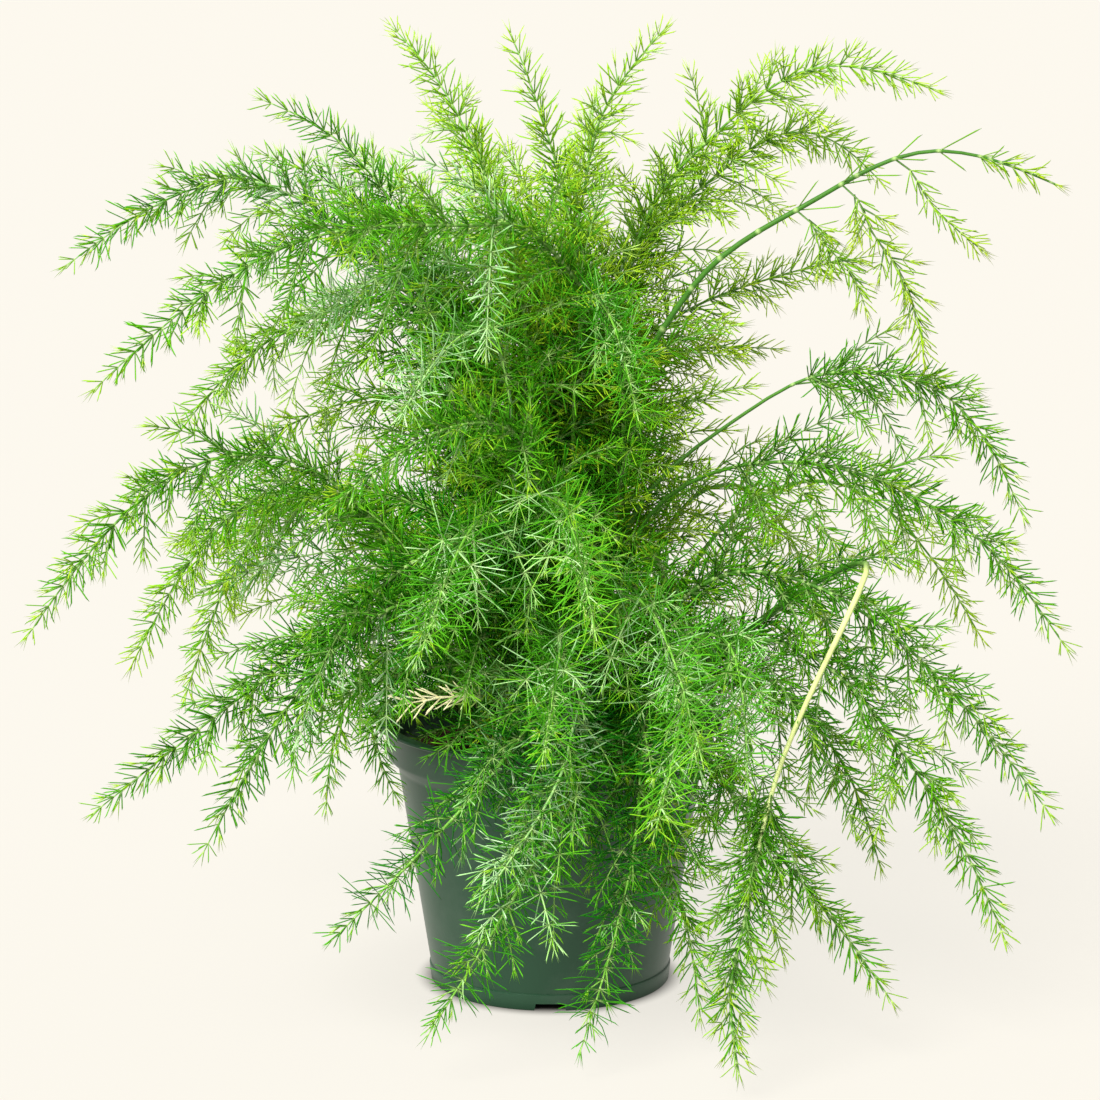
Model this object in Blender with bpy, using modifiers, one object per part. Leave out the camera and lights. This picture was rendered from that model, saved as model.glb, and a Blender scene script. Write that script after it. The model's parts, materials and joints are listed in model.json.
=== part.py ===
"""A potted foxtail fern: arching stems with whorls of needles, in a dark green nursery pot.

The model is in metres with +Z up. Its origin is the centre of the pot's foot, on the floor.
The fern's front is towards -Y. Every frond is one closed body: a tapered stem with side
shoots, and on both a few of the many needles at their true size, all grown from one cone.
"""

import math
import random

import bmesh
import bpy
from mathutils import Vector
from mathutils.kdtree import KDTree

MM = 0.001

# The pot, in millimetres.
POT_HEIGHT = 128
LIP_RADIUS = 82.5
LIP_THICKNESS = 1.8
BAND_RADIUS = 78
BAND_HEIGHT = 17
STEP_HEIGHT = 6
WALL_TOP_RADIUS = 72
WALL_FOOT_RADIUS = 56.5
FOOT_RADIUS = 57
FOOT_HEIGHT = 8
FOOT_WIDTH = 5
RECESS_HEIGHT = 3.5
WALL = 1.5
POT_SIDES = 40
NOTCH_WIDTH = 16
NOTCHES = 4

# The soil, in millimetres.
SOIL_TOP = 110
SOIL_LUMPS = 1.2
SOIL_RINGS = 4
SOIL_SIDES = 20
GAP = 0.3

# The crown and the main stems, in millimetres and degrees.
ROOT_DEPTH = 14
CROWN_RADIUS = 40
CROWN_PLACES = 90
GOLDEN_TURN = 137.5
STEM_ROOM = 3.6
FIRST_RING = 20
RING_GAP = 36
LEAN = 0.25
LINE_STEP = 4
READ_STEP = 2

# Every frond: the points that its stem passes on the way to its tip, each given as
# heading in degrees from +X towards +Y, reach from the pot's axis and height, in millimetres.
FRONDS = {
    "left_1": ((177, 95, 360), (180, 143, 383), (184, 223, 346)),
    "left_2": ((316, 22, 334), (243, 50, 369), (216, 137, 366), (209, 229, 305)),
    "left_3": ((164, 73, 366), (164, 107, 401), (163, 141, 416)),
    "left_4": ((150, 78, 345), (150, 121, 374), (150, 160, 386)),
    "left_5": ((192, 144, 260), (192, 246, 179)),
    "left_6": ((157, 130, 227), (164, 212, 139)),
    "left_7": ((141, 144, 214), (149, 213, 110)),
    "left_8": ((244, 83, 229), (223, 154, 183), (213, 242, 117)),
    "left_9": ((237, 107, 205), (218, 197, 96)),
    "left_10": ((252, 116, 289), (236, 180, 254)),
    "left_11": ((155, 76, 146), (153, 105, 128), (151, 126, 65)),
    "left_12": ((195, 70, 146), (210, 93, 132), (224, 98, 106)),
    "left_13": ((136, 101, 317), (145, 167, 293), (148, 220, 240)),
    "top_1": ((180, 23, 367), (154, 57, 425), (146, 90, 450)),
    "top_2": ((70, 16, 379), (101, 25, 413), (118, 39, 448)),
    "top_3": ((33, 18, 373), (0, 23, 411), (339, 56, 455)),
    "top_4": ((104, 103, 366), (112, 161, 402)),
    "top_5": ((112, 65, 342), (112, 130, 369)),
    "top_6": ((54, 74, 352), (56, 132, 380)),
    "top_7": ((81, 81, 364), (80, 132, 411)),
    "top_8": ((128, 102, 364), (128, 158, 383)),
    "top_9": ((98, 71, 365), (102, 113, 389)),
    "right_1": ((30, 81, 393), (9, 135, 434), (3, 179, 424)),
    "right_2": ((38, 90, 372), (23, 128, 400), (21, 170, 374)),
    "right_3": ((0, 54, 316), (356, 74, 343), (354, 116, 372), (354, 179, 399), (354, 233, 384)),
    "right_4": ((46, 83, 308), (36, 137, 327), (32, 182, 334)),
    "right_5": ((57, 137, 286), (49, 173, 283)),
    "right_6": ((0, 52, 243), (0, 80, 266), (356, 138, 295), (354, 176, 290), (352, 221, 231)),
    "right_7": ((350, 61, 240), (341, 122, 258), (344, 195, 232), (343, 246, 178)),
    "right_8": ((352, 138, 202), (356, 161, 213)),
    "right_9": ((331, 164, 218), (310, 157, 129), (299, 178, 76), (295, 188, 47), (294, 203, 14)),
    "right_10": ((328, 113, 211), (334, 250, 111)),
    "right_11": ((329, 117, 179), (330, 203, 112), (330, 237, 54)),
    "right_12": ((355, 90, 152), (357, 128, 122), (0, 158, 53)),
    "right_13": ((303, 100, 142), (312, 143, 99), (317, 181, 58), (319, 203, 30)),
    "right_14": ((284, 84, 148), (290, 116, 118), (296, 134, 72), (299, 140, 19)),
    "front_1": ((296, 90, 154), (290, 118, 120), (275, 156, 14)),
    "front_2": ((280, 90, 150), (276, 124, 129), (265, 148, 88), (252, 173, 25)),
    "front_3": ((277, 105, 158), (272, 138, 136), (259, 163, 84)),
    "front_4": ((268, 88, 150), (255, 116, 124), (243, 135, 92), (232, 159, 56)),
    "bleached": ((245, 77, 154), (234, 106, 156)),
    "heart_1": ((272, 110, 254), (276, 191, 209)),
    "heart_2": ((254, 114, 245), (254, 198, 205)),
    "heart_3": ((290, 117, 209), (289, 201, 156)),
    "heart_4": ((307, 128, 190), (297, 190, 138)),
    "heart_5": ((273, 100, 188), (269, 190, 156)),
    "heart_6": ((303, 108, 170), (284, 185, 118)),
    "heart_7": ((239, 70, 322), (243, 146, 294)),
    "heart_8": ((294, 55, 334), (288, 126, 292)),
    "heart_9": ((200, 59, 348), (208, 128, 322)),
    "back_1": ((25, 140, 230), (18, 222, 150)),
    "back_2": ((50, 130, 220), (45, 210, 110)),
    "back_3": ((75, 115, 270), (70, 192, 190)),
    "back_4": ((100, 115, 200), (95, 188, 80)),
    "back_5": ((130, 115, 266), (142, 205, 226)),
    "back_6": ((85, 100, 330), (98, 176, 280)),
    "back_7": ((65, 110, 165), (58, 180, 40)),
    "back_8": ((112, 110, 165), (106, 178, 45)),
}

# How side shoots stand on a stem. Lengths are in millimetres, and the rest are shares.
HABIT = {
    "bare": 0.14,
    "longest": 80,
    "spread": 0.42,
    "plume": 24,
    "shortest": 9,
    "gap": 10.5,
    "droop": 0.3,
}

# A young stem bears three side shoots only. Each is given as the share of the stem where it
# leaves, and then by the points that it passes, as in the plan above.
SET_SHOOTS = {
    "right_3": (
        (0.706, (350, 127, 357), (348, 141, 344), (346, 149, 327)),
        (0.761, (351, 150, 361), (350, 163, 344), (349, 175, 303)),
        (0.823, (354, 177, 373), (354, 200, 353)),
    ),
}

# Stems that stay bare for longer, as shares of their length, and how far the side shoots of
# some groups hang, as shares of their own length.
BARE_STEMS = {
    "right_2": 0.3,
    "right_4": 0.4,
    "right_5": 0.5,
    "right_6": 0.62,
    "right_7": 0.5,
    "right_9": 0.7,
    "right_11": 0.4,
    "right_13": 0.42,
    "back_1": 0.42,
}
HANG = {"heart": 0.55, "front": 0.42}
FORK = (42, 62)
LENGTH_DRAW = (0.75, 1.2)
GAP_DRAW = (0.8, 1.2)
SHOOT_STEPS = 6

# What each frond's solid carries of its needles and shoots, in millimetres and degrees.
# A needle's tries are lengths and leans away from its stem, and the first that is clear is used.
STEM_RADIUS = (1.3, 0.5)
SHOOT_RADIUS = (0.6, 0.4)
NODE_WIDTH = 1.1
LONGEST_RUN = 43
SHOOT_PICK = 7
LONG_SHOOT = 46
LONG_SHOOT_NODES = (0.45, 0.78)
SHORT_SHOOT_NODES = (0.66,)
PLUME_NODES = (26, 12)
TIP_RUN = 18
NEEDLE_TRIES = ((15, 56), (15, 40), (12, 64), (10, 48))
TIP_NEEDLE_TRIES = ((11, 26), (9, 34), (7, 30))
NEEDLE_RADIUS = 0.5
SHOOT_TRIM = 5
NEEDLE_TRIM = 3
SAMPLE = 1
ROOM = 0.6


def polar(heading, reach, height):
    """A point given by its heading in degrees, its reach and its height in millimetres."""
    angle = math.radians(heading)
    return Vector((reach * math.cos(angle), reach * math.sin(angle), height)) * MM


def smooth_line(points, leave):
    """A cubic line through the points, level at any point that stands above both its neighbours."""
    spans = [(b - a).length for a, b in zip(points, points[1:])]
    ways = [leave.normalized()]
    for i in range(1, len(points) - 1):
        before = (points[i] - points[i - 1]) / spans[i - 1] ** 2
        after = (points[i + 1] - points[i]) / spans[i] ** 2
        way = before + after
        if points[i].z > max(points[i - 1].z, points[i + 1].z):
            way.z = 0
        ways.append(way.normalized())
    ways.append(((points[-1] - points[-2]) / spans[-1] * 1.5 - ways[-1] * 0.5).normalized())
    line = []
    for i, span in enumerate(spans):
        steps = max(3, round(span / (LINE_STEP * MM)))
        for k in range(steps):
            t = k / steps
            line.append(
                points[i] * (2 * t**3 - 3 * t**2 + 1)
                + ways[i] * span * (t**3 - 2 * t**2 + t)
                + points[i + 1] * (3 * t**2 - 2 * t**3)
                + ways[i + 1] * span * (t**3 - t**2)
            )
    return line + [points[-1]]


class Path:
    """A line of points that can be read at any distance along it."""

    def __init__(self, points):
        self.points = points
        self.marks = [0.0]
        for a, b in zip(points, points[1:]):
            self.marks.append(self.marks[-1] + (b - a).length)
        self.length = self.marks[-1]

    def at(self, distance):
        """The point at this distance, and the line's direction there."""
        distance = min(max(distance, 0), self.length)
        i = 1
        while self.marks[i] < distance and i < len(self.marks) - 1:
            i += 1
        a, b = self.points[i - 1], self.points[i]
        share = (distance - self.marks[i - 1]) / (self.marks[i] - self.marks[i - 1])
        return a.lerp(b, min(share, 1)), (b - a).normalized()

    def chords(self):
        """Points read along the straight runs between a stem's rings."""
        marks = [0, FIRST_RING * MM]
        while marks[-1] + RING_GAP * MM < self.length:
            marks.append(marks[-1] + RING_GAP * MM)
        runs = Path([self.at(mark)[0] for mark in marks + [self.length]])
        count = round(runs.length / (READ_STEP * MM))
        return [runs.at(runs.length * i / count)[0] for i in range(count + 1)]


def crown_places():
    """Places for the stems to leave the crown, spread like the seeds of a sunflower."""
    places = []
    for i in range(CROWN_PLACES):
        reach = CROWN_RADIUS * math.sqrt((i + 0.5) / CROWN_PLACES)
        places.append(polar(i * GOLDEN_TURN, reach, SOIL_TOP - ROOT_DEPTH))
    return places


def stem_paths():
    """A path for each frond's stem, from the nearest crown place that keeps it clear of the others."""
    free = crown_places()
    taken = []
    paths = {}
    for name, passes in FRONDS.items():
        goals = [polar(*place) for place in passes]
        wish = goals[0] * LEAN
        wish.z = (SOIL_TOP - ROOT_DEPTH) * MM
        tree = KDTree(len(taken))
        for i, point in enumerate(taken):
            tree.insert(point, i)
        tree.balance()
        best_room = -1
        for root in sorted(free, key=lambda place: (place - wish).length):
            lean = goals[0] - root
            lean.z = 0
            path = Path(smooth_line([root] + goals, Vector((0, 0, 1)) + lean.normalized() * LEAN))
            chords = path.chords()
            room = min(tree.find(point)[2] for point in chords) if taken else 1
            if room > best_room:
                best_room, best = room, (root, path, chords)
            if room > STEM_ROOM * MM:
                break
        root, path, chords = best
        free.remove(root)
        taken += chords
        paths[name] = path
    return paths


def set_shoot(path, share, passes):
    """A side shoot that leaves the stem at this share of its length and passes these points."""
    start, along = path.at(path.length * share)
    goals = [polar(*place) for place in passes]
    leave = along + (goals[0] - start).normalized()
    return path.length * share, Path(smooth_line([start] + goals, leave))


def side_shoots(path, name):
    """The side shoots of a stem, each as its distance along the stem and its own path."""
    if name in SET_SHOOTS:
        return [set_shoot(path, share, passes) for share, *passes in SET_SHOOTS[name]]
    rng = random.Random(name)
    distance = path.length * BARE_STEMS.get(name, HABIT["bare"])
    hang = HANG.get(name.split("_")[0], HABIT["droop"])
    turn = rng.uniform(0, 360)
    shoots = []
    while True:
        left = path.length - distance - HABIT["plume"] * MM
        length = min(HABIT["longest"] * MM, HABIT["spread"] * left)
        if length < HABIT["shortest"] * MM:
            return shoots
        length *= rng.uniform(*LENGTH_DRAW)
        start, along = path.at(distance)
        side = along.cross(Vector((0, 0, 1)))
        side = side.normalized() if side.length > 0.1 else Vector((1, 0, 0))
        out = side * math.cos(math.radians(turn)) + side.cross(along) * math.sin(math.radians(turn))
        fork = math.radians(rng.uniform(*FORK))
        way = along * math.cos(fork) + out * math.sin(fork)
        points = []
        for i in range(SHOOT_STEPS + 1):
            t = i / SHOOT_STEPS
            points.append(start + way * length * t - Vector((0, 0, hang * length * t * t)))
        shoots.append((distance, Path(points)))
        distance += HABIT["gap"] * MM * rng.uniform(*GAP_DRAW)
        turn += GOLDEN_TURN


def clear_of_pot(point, room):
    """True where a ball of this radius is clear of the pot, the soil and the floor."""
    reach = math.hypot(point.x, point.y)
    if point.z < room + 2 * MM:
        return False
    if point.z > POT_HEIGHT * MM + room or reach > LIP_RADIUS * MM + room:
        return True
    over_soil = point.z > (SOIL_TOP + 2 * SOIL_LUMPS) * MM + room
    return over_soil and reach < (WALL_TOP_RADIUS - 2 * WALL) * MM - room


class Space:
    """Remembers where there are stems and needles, so that new ones can be kept clear of them."""

    def __init__(self):
        self.cell = 3 * MM
        self.balls = {}

    def key(self, point):
        return tuple(math.floor(value / self.cell) for value in point)

    def take(self, points, radius):
        """Fills the runs between these points."""
        for point in samples(points):
            self.balls.setdefault(self.key(point), []).append((point, radius))

    def is_free(self, points, radius, trim):
        """True where the runs between these points, past their first stretch, meet nothing."""
        start = points[0]
        for point in samples(points):
            if (point - start).length < trim:
                continue
            if not clear_of_pot(point, radius + ROOM * MM):
                return False
            x, y, z = self.key(point)
            for i in (x - 1, x, x + 1):
                for j in (y - 1, y, y + 1):
                    for k in (z - 1, z, z + 1):
                        for other, size in self.balls.get((i, j, k), ()):
                            if (point - other).length < radius + size + ROOM * MM:
                                return False
        return True


def samples(points):
    """Points every millimetre or less along the runs between these points."""
    found = []
    for a, b in zip(points, points[1:]):
        count = math.ceil((b - a).length / (SAMPLE * MM))
        found += [a.lerp(b, i / count) for i in range(count)]
    return found + [points[-1]]


def next_ring(mesh, face, centre, direction, radius):
    """Extrudes a stem's end face to its next ring, and returns the new end face."""
    end = bmesh.ops.extrude_discrete_faces(mesh, faces=[face])["faces"][0]
    end.normal_update()
    turn = end.normal.rotation_difference(direction)
    middle = end.calc_center_median()
    for corner in end.verts:
        corner.co = centre + radius * (turn @ (corner.co - middle)).normalized()
    end.normal_update()
    return end


def node_band(mesh, face, centre, direction, radius):
    """Grows a stem by a plain run and a short band, and returns its new end and the band's sides."""
    half = direction * (NODE_WIDTH * MM / 2)
    end = next_ring(mesh, face, centre - half, direction, radius)
    end = next_ring(mesh, end, centre + half, direction, radius)
    sides = []
    for edge in end.edges:
        sides += [side for side in edge.link_faces if side is not end]
    for side in sides:
        side.normal_update()
    return end, sides


def point_end(mesh, face, tip):
    """Draws a face out to a point."""
    bmesh.ops.poke(mesh, faces=[face])["verts"][0].co = tip


def between(pair, share):
    """A value this share of the way from the first of a pair to the second, in metres."""
    return (pair[0] + (pair[1] - pair[0]) * share) * MM


def grow_shoot(mesh, face, shoot, space, buds):
    """Grows a side shoot out of one side of a node, where there is room for it."""
    shares = LONG_SHOOT_NODES if shoot.length > LONG_SHOOT * MM else SHORT_SHOOT_NODES
    start = face.calc_center_median()
    run = [start] + [shoot.at(shoot.length * share)[0] for share in shares] + [shoot.points[-1]]
    if not space.is_free(run, between(SHOOT_RADIUS, 0), SHOOT_TRIM * MM):
        return False
    space.take(run, between(SHOOT_RADIUS, 0))
    end = face
    for i, share in enumerate(shares):
        direction = (run[i + 2] - run[i]).normalized()
        end, sides = node_band(mesh, end, run[i + 1], direction, between(SHOOT_RADIUS, share))
        buds += [(side, direction, NEEDLE_TRIES) for side in sides]
    point_end(mesh, end, run[-1])
    return True


def stem_nodes(path, name):
    """The rings of a frond's stem, as distances, each with the side shoot that leaves there or None."""
    shoots = side_shoots(path, name)
    first = 0 if name in SET_SHOOTS else SHOOT_PICK // 2
    step = 1 if name in SET_SHOOTS else SHOOT_PICK
    nodes = {distance: shoot for distance, shoot in shoots[first::step]}
    for before_tip in PLUME_NODES:
        nodes[path.length - before_tip * MM] = None
    return dict(sorted(nodes.items()))


def grow_frond(name, path, space):
    """Grows a frond's stem and side shoots, and returns its mesh with the faces that can bear needles."""
    mesh = bmesh.new()
    bmesh.ops.create_cone(mesh, cap_ends=True, segments=4, radius1=MM, radius2=MM, depth=MM)
    mesh.normal_update()
    foot = min(mesh.faces, key=lambda face: face.calc_center_median().z)
    end = max(mesh.faces, key=lambda face: face.calc_center_median().z)
    direction = (path.at(FIRST_RING * MM)[0] - path.points[0]).normalized()
    turn = Vector((0, 0, 1)).rotation_difference(direction)
    for face, distance in ((foot, 0), (end, FIRST_RING * MM)):
        for corner in face.verts:
            flat = Vector((corner.co.x, corner.co.y, 0)).normalized()
            corner.co = path.at(distance)[0] + STEM_RADIUS[0] * MM * (turn @ flat)
    end.normal_update()
    buds = []
    last = FIRST_RING * MM
    for distance, shoot in stem_nodes(path, name).items():
        runs = math.ceil((distance - last) / (LONGEST_RUN * MM))
        for ring in range(1, runs):
            mark = last + (distance - last) * ring / runs
            centre, direction = path.at(mark)
            end = next_ring(mesh, end, centre, direction, between(STEM_RADIUS, mark / path.length))
        centre, direction = path.at(distance)
        end, sides = node_band(mesh, end, centre, direction, between(STEM_RADIUS, distance / path.length))
        if shoot:
            way = (shoot.points[-1] - shoot.points[0]).normalized()
            sides.sort(key=lambda side: -side.normal.dot(way))
            if grow_shoot(mesh, sides[0], shoot, space, buds):
                sides = sides[1:]
        tries = NEEDLE_TRIES if distance < path.length - TIP_RUN * MM else TIP_NEEDLE_TRIES
        buds += [(side, direction, tries) for side in sides]
        last = distance
    point_end(mesh, end, path.points[-1])
    return mesh, buds


def add_needles(mesh, buds, space):
    """Draws each bud's face out to a needle, in the first pose that meets nothing."""
    for face, along, tries in buds:
        start = face.calc_center_median()
        for length, lean in tries:
            angle = math.radians(lean)
            way = along * math.cos(angle) + face.normal * math.sin(angle)
            tip = start + way.normalized() * length * MM
            if space.is_free([start, tip], NEEDLE_RADIUS * MM, NEEDLE_TRIM * MM):
                space.take([start, tip], NEEDLE_RADIUS * MM)
                point_end(mesh, face, tip)
                break


def material(name, colour, roughness):
    """A plain Principled material in this linear colour."""
    made = bpy.data.materials.new(name)
    made.use_nodes = True
    shader = made.node_tree.nodes["Principled BSDF"]
    shader.inputs["Base Color"].default_value = (*colour, 1)
    shader.inputs["Roughness"].default_value = roughness
    shader.inputs["Metallic"].default_value = 0
    return made


def add_object(name, mesh, finish, collection):
    """An object at the origin that shows this mesh in this material."""
    made = bpy.data.objects.new(name, mesh)
    mesh.materials.append(finish)
    collection.objects.link(made)
    return made


def outline_object(name, outline, finish, collection):
    """A round body turned from an outline of radii and heights in millimetres."""
    mesh = bpy.data.meshes.new(name)
    edges = [(i, i + 1) for i in range(len(outline) - 1)]
    mesh.from_pydata([(radius * MM, 0, height * MM) for radius, height in outline], edges, [])
    made = add_object(name, mesh, finish, collection)
    screw = made.modifiers.new("Turned", "SCREW")
    screw.steps = POT_SIDES
    screw.render_steps = POT_SIDES
    screw.use_merge_vertices = True
    screw.merge_threshold = 0.00001
    screw.use_normal_calculate = True
    return made


def applied(made):
    """Turns an object's modifiers into its own mesh."""
    graph = bpy.context.evaluated_depsgraph_get()
    mesh = bpy.data.meshes.new_from_object(made.evaluated_get(graph))
    made.modifiers.clear()
    made.data = mesh
    return made


def cut(made, cutter):
    """Cuts one object from another, and keeps the cutter as a hidden guide."""
    cutter.hide_render = True
    cutter.display_type = "WIRE"
    boolean = made.modifiers.new("Cut " + cutter.name, "BOOLEAN")
    boolean.operation = "DIFFERENCE"
    boolean.object = cutter


def make_pot(finish, parts, cutters):
    """The pot: a thin tapered wall on a notched foot, with a stepped band and a lip at the rim."""
    band_foot = POT_HEIGHT - BAND_HEIGHT
    wall_top = band_foot - STEP_HEIGHT
    outline = [
        (0, RECESS_HEIGHT + WALL),
        (WALL_FOOT_RADIUS - WALL, RECESS_HEIGHT + WALL),
        (WALL_TOP_RADIUS - WALL, wall_top),
        (BAND_RADIUS - WALL, band_foot),
        (BAND_RADIUS - WALL, POT_HEIGHT),
        (LIP_RADIUS, POT_HEIGHT),
        (LIP_RADIUS, POT_HEIGHT - LIP_THICKNESS),
        (BAND_RADIUS, POT_HEIGHT - 2 * LIP_THICKNESS),
        (BAND_RADIUS - 0.5, band_foot),
        (WALL_TOP_RADIUS, wall_top),
        (WALL_FOOT_RADIUS + 0.6, FOOT_HEIGHT),
        (FOOT_RADIUS + 0.8, FOOT_HEIGHT - 0.6),
        (FOOT_RADIUS, 0),
        (FOOT_RADIUS - FOOT_WIDTH, 0),
        (FOOT_RADIUS - FOOT_WIDTH - 0.5, RECESS_HEIGHT),
        (0, RECESS_HEIGHT),
    ]
    pot = applied(outline_object("pot", outline, finish, parts))
    cut(pot, make_notches(cutters))
    pot.data.shade_smooth()
    pot.data.set_sharp_from_angle(angle=math.radians(30))
    return pot


def make_notches(cutters):
    """Tapered blocks that cut the drainage notches out of the foot."""
    mesh = bmesh.new()
    for i in range(NOTCHES):
        block = bmesh.ops.create_cube(mesh, size=1)["verts"]
        for corner in block:
            narrow = 1 if corner.co.z < 0 else 0.84
            corner.co.x *= NOTCH_WIDTH * narrow * MM
            corner.co.y = (corner.co.y * 3 * FOOT_WIDTH - FOOT_RADIUS) * MM
            corner.co.z *= 2 * RECESS_HEIGHT * MM
        turn = i * math.tau / NOTCHES
        for corner in block:
            x, y = corner.co.x, corner.co.y
            corner.co.x = x * math.cos(turn) - y * math.sin(turn)
            corner.co.y = x * math.sin(turn) + y * math.cos(turn)
    data = bpy.data.meshes.new("notches")
    mesh.to_mesh(data)
    mesh.free()
    notches = bpy.data.objects.new("notches", data)
    cutters.objects.link(notches)
    return notches


def make_soil(paths, finish, parts, cutters):
    """The soil: a plug inside the pot with a lumpy top, and a plain hole for each stem."""
    inner_foot = WALL_FOOT_RADIUS - WALL - GAP
    inner_top = WALL_TOP_RADIUS - WALL - GAP
    shoulder = POT_HEIGHT - BAND_HEIGHT - STEP_HEIGHT
    outline = [(inner_foot, RECESS_HEIGHT + WALL + GAP), (inner_top, shoulder), (inner_top + 1, SOIL_TOP)]
    mesh = bmesh.new()
    bottom = bmesh.ops.create_circle(mesh, cap_ends=True, segments=SOIL_SIDES, radius=outline[0][0] * MM)
    for corner in bottom["verts"]:
        corner.co.z = outline[0][1] * MM
    mesh.normal_update()
    end = mesh.faces[:][0]
    if end.normal.z < 0:
        end.normal_flip()
    under = end.copy()
    under.normal_flip()
    for radius, height in outline[1:]:
        end = next_ring(mesh, end, Vector((0, 0, height * MM)), Vector((0, 0, 1)), radius * MM)
    for ring in range(SOIL_RINGS - 1, 0, -1):
        radius = outline[-1][0] * ring / SOIL_RINGS
        end = next_ring(mesh, end, Vector((0, 0, SOIL_TOP * MM)), Vector((0, 0, 1)), radius * MM)
    point_end(mesh, end, Vector((0, 0, SOIL_TOP * MM)))
    rng = random.Random("soil")
    for corner in mesh.verts:
        if corner.co.z > (SOIL_TOP - 1) * MM and corner.co.xy.length < (outline[-1][0] - 1) * MM:
            corner.co.z += rng.uniform(-SOIL_LUMPS, SOIL_LUMPS) * MM
    data = bpy.data.meshes.new("soil")
    mesh.to_mesh(data)
    mesh.free()
    soil = add_object("soil", data, finish, parts)
    cut(soil, make_stem_holes(paths, cutters))
    return soil


def make_stem_holes(paths, cutters):
    """Four-sided rods along the foot of every stem, a little wider than the stems."""
    mesh = bmesh.new()
    for path in paths.values():
        foot = path.points[0]
        direction = (path.at(FIRST_RING * MM)[0] - foot).normalized()
        turn = Vector((0, 0, 1)).rotation_difference(direction)
        rod = bmesh.ops.create_cone(mesh, cap_ends=True, segments=4, radius1=MM, radius2=MM, depth=MM)
        for corner in rod["verts"]:
            reach = -GAP * MM if corner.co.z < 0 else (FIRST_RING + 2) * MM
            flat = Vector((corner.co.x, corner.co.y, 0)).normalized()
            wide = (STEM_RADIUS[0] + GAP * math.sqrt(2)) * MM
            corner.co = foot + direction * reach + wide * (turn @ flat)
    data = bpy.data.meshes.new("stem holes")
    mesh.to_mesh(data)
    mesh.free()
    holes = bpy.data.objects.new("stem holes", data)
    cutters.objects.link(holes)
    return holes


def make_fronds(paths, finishes, parts):
    """All the fronds: first every stem and its shoots, then the needles where there is room."""
    space = Space()
    for path in paths.values():
        space.take(path.chords(), between(STEM_RADIUS, 0))
    grown = {name: grow_frond(name, path, space) for name, path in paths.items()}
    for name, (mesh, buds) in grown.items():
        add_needles(mesh, buds, space)
        data = bpy.data.meshes.new(name)
        mesh.to_mesh(data)
        mesh.free()
        finish = finishes.get(name, finishes["other"])
        add_object("frond_" + name, data, finish, parts)


def main():
    for old in list(bpy.data.objects):
        bpy.data.objects.remove(old)
    parts = bpy.data.collections.new("Foxtail fern")
    cutters = bpy.data.collections.new("Cutters")
    for collection in (parts, cutters):
        bpy.context.scene.collection.children.link(collection)
    paths = stem_paths()
    make_pot(material("Dark green polypropylene", (0.035, 0.09, 0.065), 0.4), parts, cutters)
    make_soil(paths, material("Potting soil", (0.035, 0.022, 0.014), 0.95), parts, cutters)
    finishes = {
        "other": material("Green needles", (0.08, 0.28, 0.05), 0.5),
        "bleached": material("Bleached needles", (0.75, 0.7, 0.45), 0.5),
    }
    make_fronds(paths, finishes, parts)


main()
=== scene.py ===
"""The looks of a potted foxtail fern: needled fronds, a moulded nursery pot and peaty soil.

The file is laid out as an add-on and is run as a script. Lengths are in metres, with +Z up
and the fern's front towards -Y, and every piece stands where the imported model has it.
"""

import json
import math
import random

import bmesh
import bpy
from bpy.props import FloatProperty, FloatVectorProperty, IntProperty, PointerProperty
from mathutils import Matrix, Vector, noise
from mathutils.kdtree import KDTree

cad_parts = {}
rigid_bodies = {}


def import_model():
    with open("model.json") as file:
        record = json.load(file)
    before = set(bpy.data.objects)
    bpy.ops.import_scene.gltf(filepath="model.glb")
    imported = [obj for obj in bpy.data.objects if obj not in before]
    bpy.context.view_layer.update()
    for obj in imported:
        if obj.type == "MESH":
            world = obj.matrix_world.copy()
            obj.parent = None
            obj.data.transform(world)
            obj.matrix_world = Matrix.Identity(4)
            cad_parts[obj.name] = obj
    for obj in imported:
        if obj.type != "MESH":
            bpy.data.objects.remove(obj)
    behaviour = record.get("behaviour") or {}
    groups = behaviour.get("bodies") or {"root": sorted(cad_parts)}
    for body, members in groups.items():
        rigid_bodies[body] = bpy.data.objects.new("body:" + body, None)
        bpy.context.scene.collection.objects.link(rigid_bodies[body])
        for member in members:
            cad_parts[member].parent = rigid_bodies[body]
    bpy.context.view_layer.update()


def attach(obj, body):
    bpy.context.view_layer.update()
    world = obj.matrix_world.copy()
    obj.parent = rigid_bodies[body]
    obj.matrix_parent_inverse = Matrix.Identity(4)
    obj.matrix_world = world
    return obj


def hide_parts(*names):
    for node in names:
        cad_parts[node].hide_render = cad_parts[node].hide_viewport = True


bl_info = {
    "name": "Potted foxtail fern",
    "version": (1, 0, 0),
    "blender": (4, 5, 0),
    "location": "3D View > Sidebar > Fern",
    "description": "Makes a foxtail fern with needled fronds in a dark green pot",
    "category": "Object",
}

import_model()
MM = 0.001

# The plant's plan, in millimetres and degrees, as in the part's own source: the pot and its
# soil; how deep stems are rooted, and the places in the crown where they may stand; how far
# stems keep apart; where a stem's rings are; how much its root leans its own way; and the steps
# in which its line is drawn, how many it has at least from point to point, and those in which
# it is read.
LIP_RADIUS = 82.5
POT_HEIGHT = 128
WALL_TOP_RADIUS = 72
WALL = 1.5
SOIL_TOP = 110
ROOT_DEPTH = 14
CROWN_RADIUS = 40
CROWN_PLACES = 90
GOLDEN_TURN = 137.5
STEM_ROOM = 3.6
FIRST_RING = 20
RING_GAP = 36
LEAN = 0.25
LINE_STEP = 4
FEWEST_STEPS = 3
READ_STEP = 2

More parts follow.
